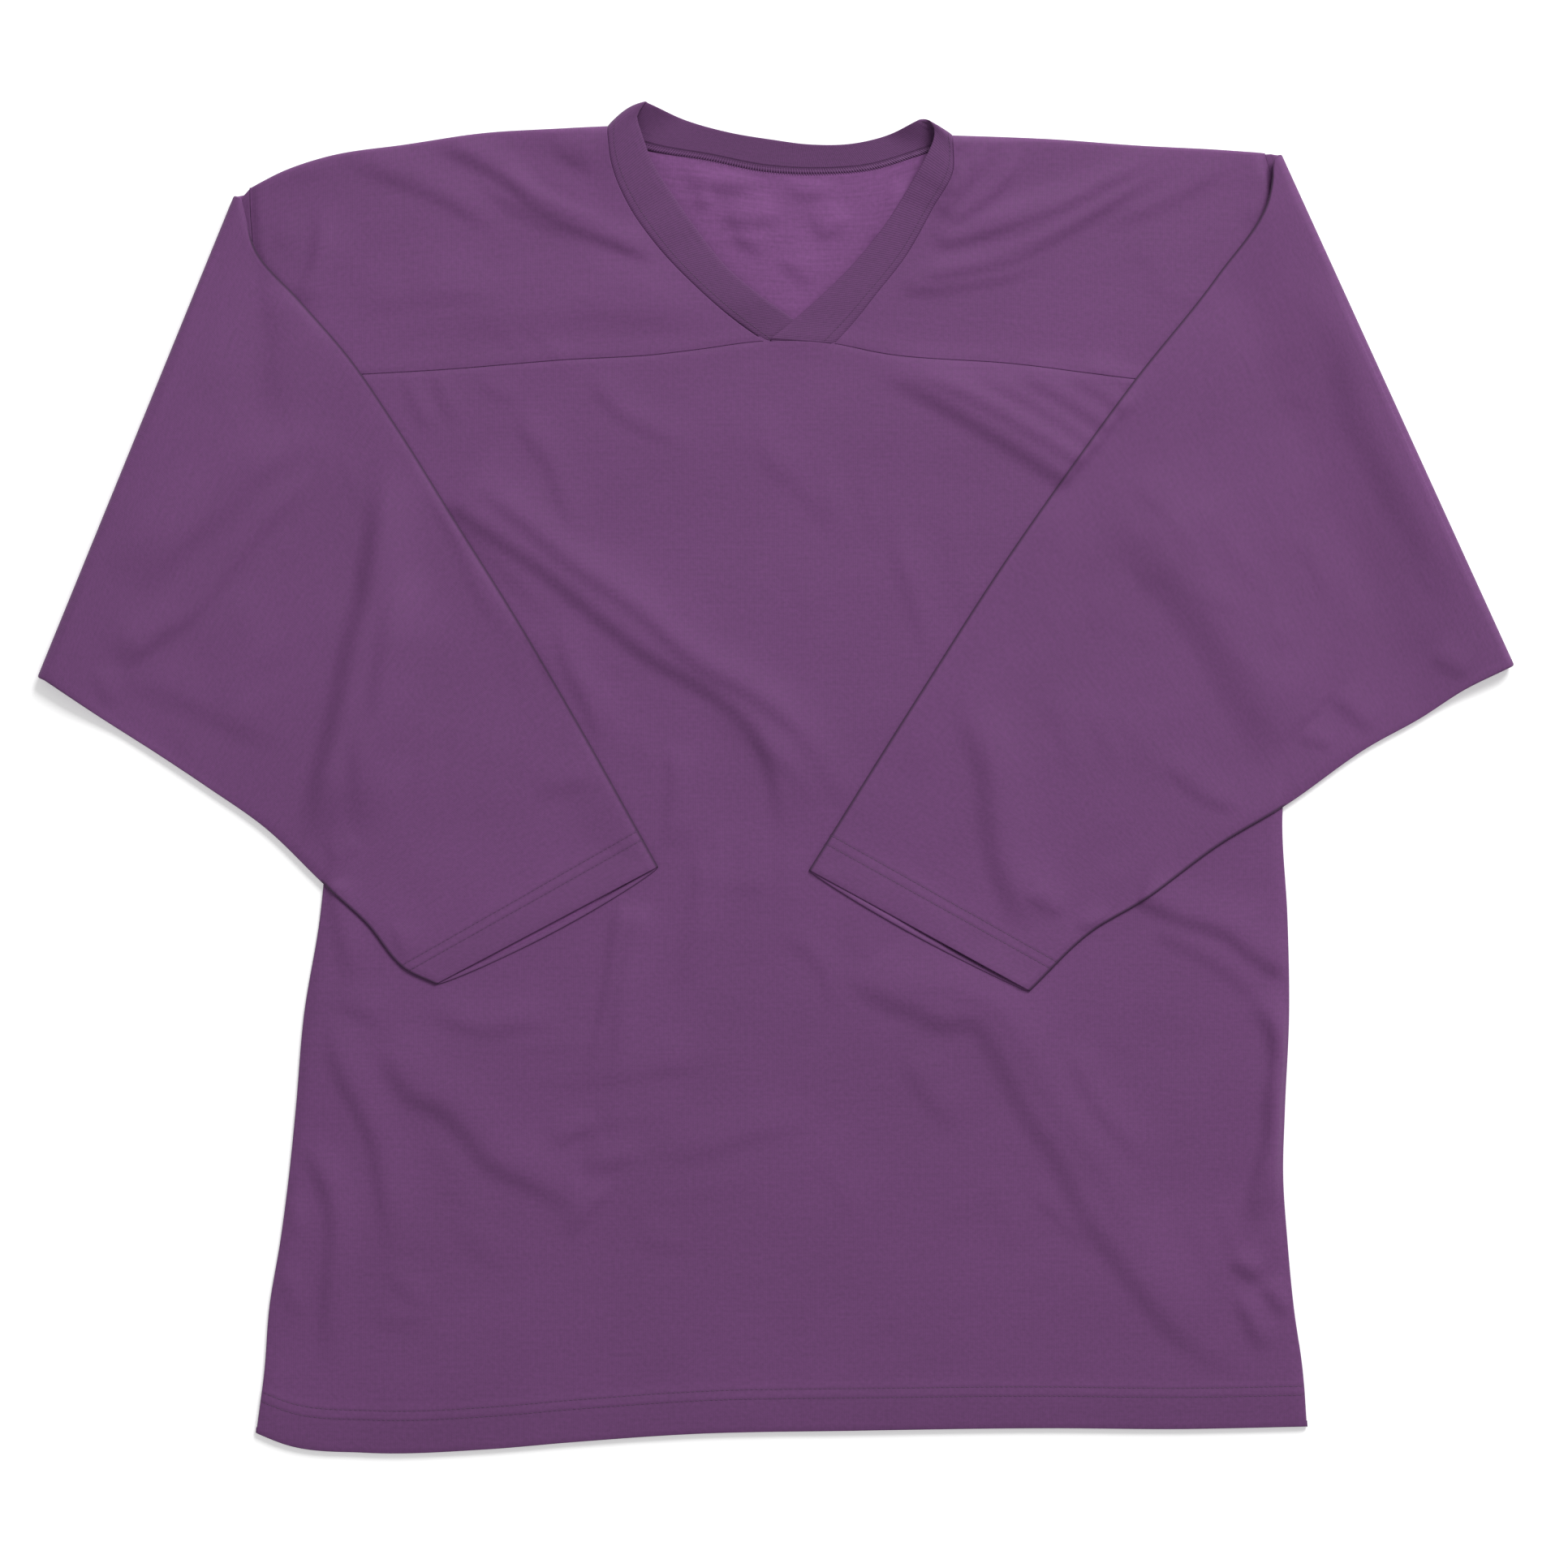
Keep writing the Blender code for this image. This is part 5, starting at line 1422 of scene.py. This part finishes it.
@dataclass
class Neckband:
    """Rib strip folded double round the neck, its right end lapped over the left one."""

    finishes: Finishes
    yoke: Yoke
    thickness: float = 1.4
    width: float = 24.0
    back_lean: float = 2.0       # the free edge behind leans up by this much
    peak_lean: float = 7.5       # and at the neck points by this much
    peak_reach: float = 0.14     # share of the back over which it sinks from one to the other
    peak_bulge: float = 1.2
    bow: Point = (2.6, 0.4)      # how far the strip bows out beyond its edges at each neck point
    crown: float = 0.35
    under_yoke: float = 2.4      # its open edges go on this far under the yoke
    seam_dip: float = 0.07       # share of its width over which it sinks to the seam
    seam_step: float = 0.4       # the inner layer dips this much along the seam
    proud: float = 0.3           # its upper side stands this far above the yoke's
    stitch_share: float = 0.15   # place of the cover stitch across it
    thread_lift: float = 0.02
    # rows added past both ends, which go down under the front panel
    end_rows: tuple[tuple[float, float, float], ...] = ((0.0, -3.0, -0.9), (0.0, -1.0, -0.15))
    allowance: float = 6.2       # the inner one goes on this far where it shows inside the back
    allowance_fall: float = 0.75
    overlock_pitch: float = 1.5
    overlock_start: float = 0.14    # share of the allowance that its stitches leave free
    overlock_lean: tuple[float, float, float] = (0.35, 0.0, 0.12)
    lap: float = 0.2             # the right end rises onto the left one
    lap_reach: float = 60.0
    dip: float = 2.1             # the left end sinks under it
    dip_reach: float = 40.0
    floor: float = 0.7           # nothing of it goes lower than the inside of the back

    def free_edge(self, seam: Array, turn: Array) -> Array:
        """Plan of the free edge at each station: up the left leg, round both neck points and down the right.

        Args:
            seam: stations of the seam, from the left end at the V to the right one.
            turn: angle round the shoulder at each station.

        Returns:
            Plan points.
        """
        front, turns, count = self.yoke.neck_counts
        left = along(FREE_LEFT, self.leg_share(seam[:front]))
        right = along(FREE_RIGHT, self.leg_share(seam[-front:][::-1])[::-1])
        back = along(FREE_BACK, np.linspace(0.0, 1.0, count + 1))
        bends = []
        for before, after, part in (
            (left[-1], back[0], turn[front:front + turns]), (back[-1], right[0], turn[-front - turns:-front]),
        ):
            share = (1 - np.cos(part[:, None])) / 2
            share = share if part[0] < part[-1] else 1 - share
            bends.append(before + share * (after - before) + [0.0, self.peak_bulge] * np.sin(part[:, None]))
        return np.concatenate([left, bends[0], back, bends[1], right])

    @staticmethod
    def leg_share(leg: Array) -> Array:
        """Share of a leg's length at each of its stations, from the tip of the V."""
        run = np.concatenate([[0.0], np.cumsum(np.hypot(*np.diff(leg[:, :2], axis=0).T))])
        return run / run[-1]

    def build(self) -> list[bpy.types.Object]:
        """Folded strip and its cover stitch.

        The strip runs from the seam over its upper side, round the free edge and back underneath.

        Returns:
            The band and its stitches.
        """
        seam = self.yoke.neck_edge
        front, turns, count = self.yoke.neck_counts
        over = np.linspace(0.0, math.pi, turns + 2)
        turn = np.concatenate([
            np.zeros(front - 1), over[:-1], np.full(count + 1, math.pi), over[-2::-1], np.zeros(front - 1)])
        free = self.free_edge(seam, turn)
        out = np.stack([np.zeros_like(turn), np.sin(turn), np.cos(turn)], axis=1)
        run = np.concatenate([[0.0], np.cumsum(np.linalg.norm(np.diff(seam, axis=0), axis=1))])
        to_end = run[-1] - run
        lap = self.lap * soft(1 - to_end / self.lap_reach) - self.dip * soft(1 - run / self.dip_reach)
        lean = self.peak_lean * (1 - np.cos(turn)) / 2
        round_back = np.linspace(0.0, 1.0, count + 1)
        near_peak = np.minimum(round_back, 1 - round_back) / self.peak_reach
        lean[turn == math.pi] = self.back_lean + (self.peak_lean - self.back_lean) * (1 - soft(near_peak))
        reach = free - seam[:, :2]
        length = np.hypot(*reach.T)
        radius = self.thickness / 2
        inset = radius / length.mean()
        tuck = -self.under_yoke / self.width
        open_side = np.array([
            tuck, tuck / 2, 0.0, 0.02, 0.04, self.seam_dip, *np.linspace(0.11, 1 - inset, 13)])
        edge = np.linspace(0.0, math.pi, 7)[1:-1]
        share = np.concatenate([open_side, 1 - inset + inset * np.sin(edge), open_side[::-1]])
        front_side = (1 + np.cos(turn[:, None])) / 2
        crowned = -self.crown * np.sin(math.pi * np.clip(open_side, 0.0, 1.0)) ** 0.7 * front_side
        sunk = (0.5 + front_side) * (1 - soft((open_side - tuck) / (self.seam_dip - tuck)))
        depth = np.concatenate([
            crowned + sunk, radius - radius * np.cos(edge) + 0 * front_side,
            self.thickness + 0 * open_side + 0 * front_side], axis=1)
        inner = np.arange(len(share)) >= len(open_side) + len(edge)
        shows = inner * (1 - front_side)
        stretch = 1 + shows * (share < 0) * (self.allowance / self.under_yoke - 1)
        fall = self.allowance_fall * np.clip(share / tuck, 0.0, 1.0) + self.seam_step * (share == 0)
        depth = depth - shows * fall
        proud = self.proud * np.cos(turn / 2)
        bow = np.where(seam[:, 0] < 0, *self.bow)[:, None] * np.sin(turn[:, None])
        bow = bow * np.sin(math.pi * np.clip(share, 0.0, 1.0))
        plan = seam[:, None, :2] + reach[:, None] * (share * stretch)[..., None]
        plan[..., 1] += bow
        height = seam[:, None, 2] + lap[:, None] + lean[:, None] * np.clip(share, 0.0, 1.0)
        grid = raised(plan, height) + out[:, None] * (proud[:, None] - depth)[..., None]
        under = np.array(self.end_rows)[:, None]
        between = slice(len(under), -len(under))
        grid = np.concatenate([grid[:1] + under, grid, grid[-1:] + under[::-1]])
        ends = np.minimum(np.arange(len(grid)), np.arange(len(grid))[::-1]) < front // 2
        grid[ends, :, 2] = np.maximum(grid[ends, :, 2], self.floor)
        past = under[:, 0, 1]
        run = np.concatenate([past, run, run[-1] - past[::-1]])
        across = np.hypot(np.diff(share) * self.width, np.diff(depth[0]))
        flat_across = np.concatenate([[0.0], np.cumsum(across)])
        flat = np.stack(np.broadcast_arrays(run[:, None], flat_across[None]), axis=2)
        band = sheet_piece("neckband_rib", grid, flat, RIB_WALL)
        dress(band, "neckband", self.finishes.rib, self.finishes.rib)
        spot = int(np.searchsorted(open_side, self.stitch_share))
        line = grid[between, spot] + out * self.thread_lift
        behind = turn == math.pi
        seam_line = grid[between, len(share) - 3][behind] - [0.0, 0.0, 0.05]
        stitches = StitchRow("neckband_stitches", pitch=2.6).build([line, seam_line])
        overlock = self.overlock(grid[between][behind])
        dress(stitches, "neckband", self.finishes.thread, stands_for=False)
        dress(overlock, "neckband", self.finishes.pale_thread, stands_for=False)
        return [band, stitches, overlock]

    def overlock(self, grid: Array) -> bpy.types.Object:
        """Overlock stitches across the seam allowance that shows inside the back of the neck.

        Args:
            grid: stations of the band behind; the last columns are its inner open edge.

        Returns:
            The stitches, side by side, one after the other along the seam.
        """
        near, far = grid[:, -3], grid[:, -1]
        run = np.concatenate([[0.0], np.cumsum(np.linalg.norm(np.diff(near, axis=0), axis=1))])
        lines = []
        for at in np.arange(1.5, run[-1] - 1.0, self.overlock_pitch):
            start, end = (np.array([np.interp(at, run, side_line[:, k]) for k in range(3)])
                          for side_line in (near, far))
            lines.append(np.array([start + self.overlock_start * (end - start), end + self.overlock_lean]))
        return StitchRow("neck_overlock_stitches", pitch=4.4, length=4.2, radius=0.24).build(lines)


# --- Sleeves


@dataclass
class Sleeve:
    """Sleeve as one flat tube: out from the armhole, round its bend and back over the front.

    share runs from 0 at the upper edge to 1 at the underarm edge.
    """

    cut: SleeveCut
    creases: tuple[Crease, ...]
    finishes: Finishes
    step: float = 3.0
    fold_axis: float = 5.0       # height of the bend's axis, also its outer radius
    settle_run: float = 60.0
    rest_gap: float = 0.15       # between the turned-back part and what it lies on
    thin_pair: float = 1.3       # both layers together, once they lie flat on the front
    cuff_depth: float = 24.0
    cuff_rise: float = 0.2
    edge_calm: float = 5.0       # creases die out this far from the tube's edges
    air: float = 0.25            # between its layers
    even_run: float = 150.0      # rows are parallel to the cuff at its end of this run
    peek_run: float = 90.0
    tip_fill: float = 2.8        # the under layer bulges this far at the tip of the shoulder
    tip_run: float = 18.0
    arm_rows: int = 16
    bend_rows: int = 12
    edge_points: int = 5
    lip_share: float = 0.6       # the cuff's turned-in edge is this much thinner than the hem's
    fold_fade: float = 4.0       # the painted shadow line along the fold dies out this far past the body
    mean_width: float = 1.6      # mean width all round the tube, in widths of the armhole
    ripple_shift: float = 500.0  # so that its ripples and drift differ from the front's
    drift_shift: float = 700.0

    def __post_init__(self) -> None:
        """Works out the axis of the bend and the length of the part that is turned back."""
        self.sign = self.cut.hand.value
        start, end = np.array([self.cut.bend.x, self.cut.bend.y]).T
        run = end - start
        self.out = self.sign * np.array([-run[1], run[0]]) / np.hypot(*run)
        self.up = -run / np.hypot(*run)
        self.top, self.low = start - self.out * self.fold_axis, end - self.out * self.fold_axis
        self.over_arm = table("x y", self.top, *zip(self.cut.over_arm.x, self.cut.over_arm.y))
        self.under_arm = table("x y", self.low, *zip(self.cut.under_arm.x, self.cut.under_arm.y))
        cuff = (along(self.over_arm, 1.0) + along(self.under_arm, 1.0)) / 2
        down = cuff - self.axis(0.5)
        self.length = float(np.hypot(*down))
        self.down = down / self.length

    def axis(self, share: Array | float) -> Array:
        """Line that the sleeve bends along."""
        return self.top + np.multiply.outer(share, self.low - self.top)

    def fan(self, share: Array | float, step: float) -> Array:
        """Lines that fan out from the armhole, step 0, to the bend, step 1."""
        y = self.cut.shoulder_y + np.asarray(share) * (UNDERARM_Y - self.cut.shoulder_y)
        arm = np.stack([side(self.cut.hand, y) + self.sign * ARM_SEAM, y], axis=-1)
        return arm + step * (self.axis(share) - arm)

    def turned_back(self, share: Array | float, step: float) -> Array:
        """Lines across the turned-back part, from the bend, step 0, to the cuff, step 1.

        Near the cuff they are as far from it on both edges; towards the bend they share out each edge.
        """
        from_cuff = (1 - step) * self.length
        over, under = (
            along(edge, 1 - self.share_left(edge, from_cuff)) for edge in (self.over_arm, self.under_arm))
        return over + np.multiply.outer(share, under - over)

    def share_left(self, edge: Any, from_cuff: float) -> float:
        """Share of an edge between the cuff and a line at a distance from it."""
        whole = float(np.hypot(np.diff(edge.x), np.diff(edge.y)).sum())
        blend = float(soft(np.array(from_cuff / self.even_run)))
        return from_cuff * (1 + (whole / self.length - 1) * blend) / whole

    def pair(self, from_cuff: float) -> float:
        """Height of both layers at a distance from the cuff: full to the bend, thin past it."""
        full = soft(1 - (self.length - from_cuff) / self.settle_run)
        return float(self.thin_pair + (PAIR - self.thin_pair) * full)

    def ring(self, width: float, depth: float, pair: float) -> tuple[Array, Array, Array]:
        """One ring of the flat tube, depth inside its outer side.

        Back layer, half round at the underarm edge, front layer, half round at the upper edge.

        Args:
            width: width of the tube.
            depth: how far inside the outer side the ring is tucked.
            pair: height of both layers together.

        Returns:
            Share across the tube, height in it, and 1 on the back layer falling to 0 on the front one.
        """
        radius, small = pair / 2, pair / 2 - depth
        inset = radius / width
        even = np.linspace(inset, 1 - inset, self.columns)
        turn = np.linspace(0.0, math.pi, self.edge_points + 2)[1:-1]
        swing, lift = small / width * np.sin(turn), radius - small * np.cos(turn)
        share = np.concatenate([even, 1 - inset + swing, even[::-1], inset - swing])
        level = np.concatenate([0 * even + depth, lift, 0 * even + pair - depth, lift[::-1]])
        back = np.concatenate([0 * even + 1, (1 + np.cos(turn)) / 2, 0 * even, (1 - np.cos(turn)) / 2])
        return share, level, back

    def rings(self) -> list[tuple[Callable[[Array], Array], float, float, float]]:
        """Each ring's plan, its angle round the bend, its distance from the cuff and its tuck."""
        rows: list[tuple[Callable[[Array], Array], float, float, float]] = []
        for step in np.linspace(0.0, 1.0, self.arm_rows):
            rows.append((partial(self.fan, step=step), 0.0, 2 * self.length - self.length * step, 0.0))
        for angle in np.linspace(0.0, math.pi, self.bend_rows + 1)[1:-1]:
            rows.append((self.axis, float(angle), self.length, 0.0))
        for distance in stations(self.length - TURN, self.step):
            plan = partial(self.turned_back, step=distance / self.length)
            rows.append((plan, math.pi, self.length - distance, 0.0))
        for distance, tuck in LIP[::-1]:
            plan = partial(self.turned_back, step=1 - distance / self.length)
            rows.append((plan, math.pi, distance, self.lip_share * tuck))
        return rows

    def bulge(self, from_edge: Array, angle: float, from_cuff: float) -> Array:
        """How far the under layer bulges up the shoulder's tip: a smooth step of the distance from there."""
        if angle >= math.pi / 2:
            return 0 * from_edge
        fill = (1 - math.sin(angle)) * min(1.0, 2 - from_cuff / self.length)
        return self.tip_fill * fill * soft(1 - from_edge / self.tip_run)

    def from_fold(self, place: Array, share: Array, width: float, pair: float, angle: float) -> Array:
        """Distance from the nearer edge of the tube, for the painted shadow line; large where that edge
        doesn't lie on the front.

        Args:
            place: plan points of a ring.
            share: share across the tube at each point.
            width: width of the tube.
            pair: height of both layers together.
            angle: angle of the ring round the bend.

        Returns:
            The distance, with two widths of the painted shadow line added where there is none.
        """
        distance = np.minimum(share, 1 - share) * width - pair / 2
        if angle < math.pi:
            distance = distance + 2 * FOLD_SHADOW_WIDTH
        outside = soft(-from_sides(*place.T) / self.fold_fade)
        return np.maximum(distance, 0.0) + 2 * FOLD_SHADOW_WIDTH * outside

    def build(self) -> list[bpy.types.Object]:
        """Tube of cloth with its stitched cuff.

        A height in the flat tube becomes a radius about the bend's axis, so the back layer ends on top.
        Past the bend the pair sinks onto what lies under it.

        Returns:
            The sleeve and its cuff stitches.
        """
        armhole = float(np.hypot(*(self.top - self.fan(1.0, 0.0))))
        self.columns = round(armhole / self.step)
        grids, marks, flats = [], [], []
        for plan, angle, from_cuff, tuck in self.rings():
            width = float(np.hypot(*(plan(1.0) - plan(0.0))))
            pair = self.pair(from_cuff)
            share, level, back = self.ring(width, tuck, pair)
            radius = self.fold_axis - level
            place = plan(share) + self.out * (radius * math.sin(angle))[:, None]
            height = radius * -math.cos(angle) + self.fold_axis
            place = place + self.bulge(share * width, angle, from_cuff)[:, None] * self.up
            if angle == math.pi:
                place, height = self.lie_down(place, height, share, back, width, from_cuff, pair)
            grids.append(np.column_stack([place, height]))
            around = np.where(np.arange(len(share)) < len(share) / 2, share, 2 - share) * width
            from_fold = self.from_fold(place, share, width, pair, angle)
            from_hem = np.full(len(share), from_cuff if tuck < TURN else -1.0)
            marks.append(np.stack([from_hem, around, from_fold], axis=1))
            flats.append(np.stack([around - width / 2, np.full(len(share), -from_cuff)], axis=1))
        grid, mark, flat = np.array(grids), np.array(marks), np.array(flats)
        if self.cut.hand is Hand.RIGHT:
            grid, mark, flat = grid[:, ::-1], mark[:, ::-1], flat[:, ::-1]
        sleeve = sheet_piece(
            self.cut.name + "_cloth", grid, flat, WALL, ring=True,
            marks={"from_hem": mark[..., 0], "run": mark[..., 1], "from_fold": mark[..., 2]})
        dress(sleeve, self.cut.name, self.finishes.cuffed, self.finishes.inside)
        open_rows = slice(self.arm_rows + self.bend_rows - 1, len(grid) - len(LIP))
        lines = []
        for at in CUFF_LINES:
            line = row_at(grid[open_rows], mark[open_rows, 0, 0], at)
            lines.append(np.concatenate([line, line[:1]]))
        stitches = StitchRow(self.cut.name + "_stitches").build(lines)
        dress(stitches, self.cut.name, self.finishes.thread, stands_for=False)
        return [sleeve, stitches]

    def lie_down(
        self, place: Array, height: Array, share: Array, back: Array, width: float, from_cuff: float,
        pair: float,
    ) -> tuple[Array, Array]:
        """Sinks a turned-back ring onto what is under it, and adds its creases, hem and longer under layer.

        Args:
            place: plan points of the ring.
            height: their heights as the bend leaves them.
            share: share across the tube at each point.
            back: 1 on the back layer, which is the upper one here.
            width: width of the tube.
            from_cuff: distance of the ring from the cuff.
            pair: height of both layers together.

        Returns:
            The new plan points and heights.
        """
        x, y = place.T
        ground = LAY.front(x, y)
        sink = 2 * self.fold_axis - pair - ground - self.rest_gap
        height = height - sink * soft((self.top - place) @ self.out / self.settle_run)
        from_edge = np.minimum(share, 1 - share) * width
        calm = soft(from_edge / self.edge_calm)
        lift = stand_up(self.creases, x, y) + self.air + LAY.ripple.height(x, y + self.ripple_shift)
        height = height + back * calm * (lift + LAY.drift.height(x + self.drift_shift, y))
        height = height + back * self.cuff_rise * turned_up(self.cuff_depth, from_cuff)
        peek = self.cut.peek * (1 - back) * np.sin(math.pi * np.clip(share, 0, 1)) ** 0.6
        place = place + (peek * soft(1 - from_cuff / self.peek_run))[:, None] * self.down
        return place, height


# --- Studio


@dataclass(frozen=True)
class Studio:
    """Pale floor, soft light from the upper right and a camera straight overhead."""

    frame_side: float = 927.4    # what the picture's side shows on the table
    centre: Point = (4.8, -3.6)
    focal: float = 100.0
    sensor: float = 36.0
    key_away: float = 4.5
    key_azimuth: float = 63.0    # from +X towards +Y
    key_rise: float = 38.0
    key_power: float = 198.0
    key_size: float = 2.0
    sky: float = 0.42
    mid_height: float = 5.0      # of the jersey, where the frame is frame_side wide
    floor_half: float = 4000.0
    floor_low: float = -0.2
    floor_glow: float = 0.3      # keeps the floor white under the jersey's soft shadow

    def area_light(self, name: str, place: tuple[float, float, float], size: float, power: float) -> None:
        """Square area light in metres that looks at the jersey."""
        data = bpy.data.lights.new(name, "AREA")
        data.size = size
        data.energy = power
        lamp = bpy.data.objects.new(name, data)
        lamp.location = place
        lamp.rotation_euler = (-lamp.location).to_track_quat("-Z", "Y").to_euler()
        bpy.context.scene.collection.objects.link(lamp)

    def floor(self) -> None:
        """Wide pale floor just under the jersey."""
        half, low = self.floor_half, self.floor_low
        corners = np.array([(-half, -half, low), (half, -half, low), (half, half, low), (-half, half, low)])
        floor = make_mesh("floor", corners, np.array([[0, 1, 2, 3]]))
        made, nodes, shader = new_material("Pale floor")
        tone = nodes.noise(nodes.add("ShaderNodeTexCoord").outputs["Object"], 3.0)
        nodes.put(shader["Base Color"], nodes.mix(tone, (0.93, 0.93, 0.93, 1), (0.95, 0.95, 0.95, 1)))
        shader["Roughness"].default_value = 0.9
        shader["Emission Color"].default_value = (1, 1, 1, 1)
        shader["Emission Strength"].default_value = self.floor_glow
        floor.data.materials.append(made)

    def camera(self) -> None:
        """Camera whose frame covers frame_side on the table, by the ratio of sensor to focal length."""
        data = bpy.data.cameras.new("Overhead")
        data.lens, data.sensor_width = self.focal, self.sensor
        data.clip_end = 100.0
        camera = bpy.data.objects.new("Overhead", data)
        away = self.frame_side * self.focal / self.sensor
        camera.location = (self.centre[0] * MM, self.centre[1] * MM, (away + self.mid_height) * MM)
        bpy.context.scene.collection.objects.link(camera)
        bpy.context.scene.camera = camera

    def build(self) -> None:
        """Floor, lights, world and camera."""
        self.floor()
        turn, rise = math.radians(self.key_azimuth), math.radians(self.key_rise)
        level = self.key_away * math.cos(rise)
        place = (level * math.cos(turn), level * math.sin(turn), self.key_away * math.sin(rise))
        self.area_light("Key", place, self.key_size, self.key_power)
        world = bpy.data.worlds.new("Studio")
        bpy.context.scene.world = world
        world.use_nodes = True
        background = world.node_tree.nodes["Background"].inputs
        background["Color"].default_value = (1, 1, 1, 1)
        background["Strength"].default_value = self.sky
        bpy.context.scene.view_settings.view_transform = "Standard"
        self.camera()


def main() -> None:
    """Builds every piece in the order it is laid down, and reports each."""
    logging.basicConfig(level=logging.INFO, format="%(message)s")
    finishes = Finishes()
    yoke = Yoke(finishes)
    parts = (
        BackPanel(finishes), FrontPanel(finishes), yoke, Neckband(finishes, yoke),
        Sleeve(LEFT_SLEEVE, LEFT_SLEEVE_CREASES, finishes),
        Sleeve(RIGHT_SLEEVE, RIGHT_SLEEVE_CREASES, finishes),
    )
    for part in parts:
        for piece in part.build():
            levels = [vertex.co.z / MM for vertex in piece.data.vertices]
            faces = len(piece.data.polygons)
            LOG.info("%s: %d faces, %.1f to %.1f mm up", piece.name, faces, min(levels), max(levels))
    Studio().build()


if __name__ == "__main__":
    main()
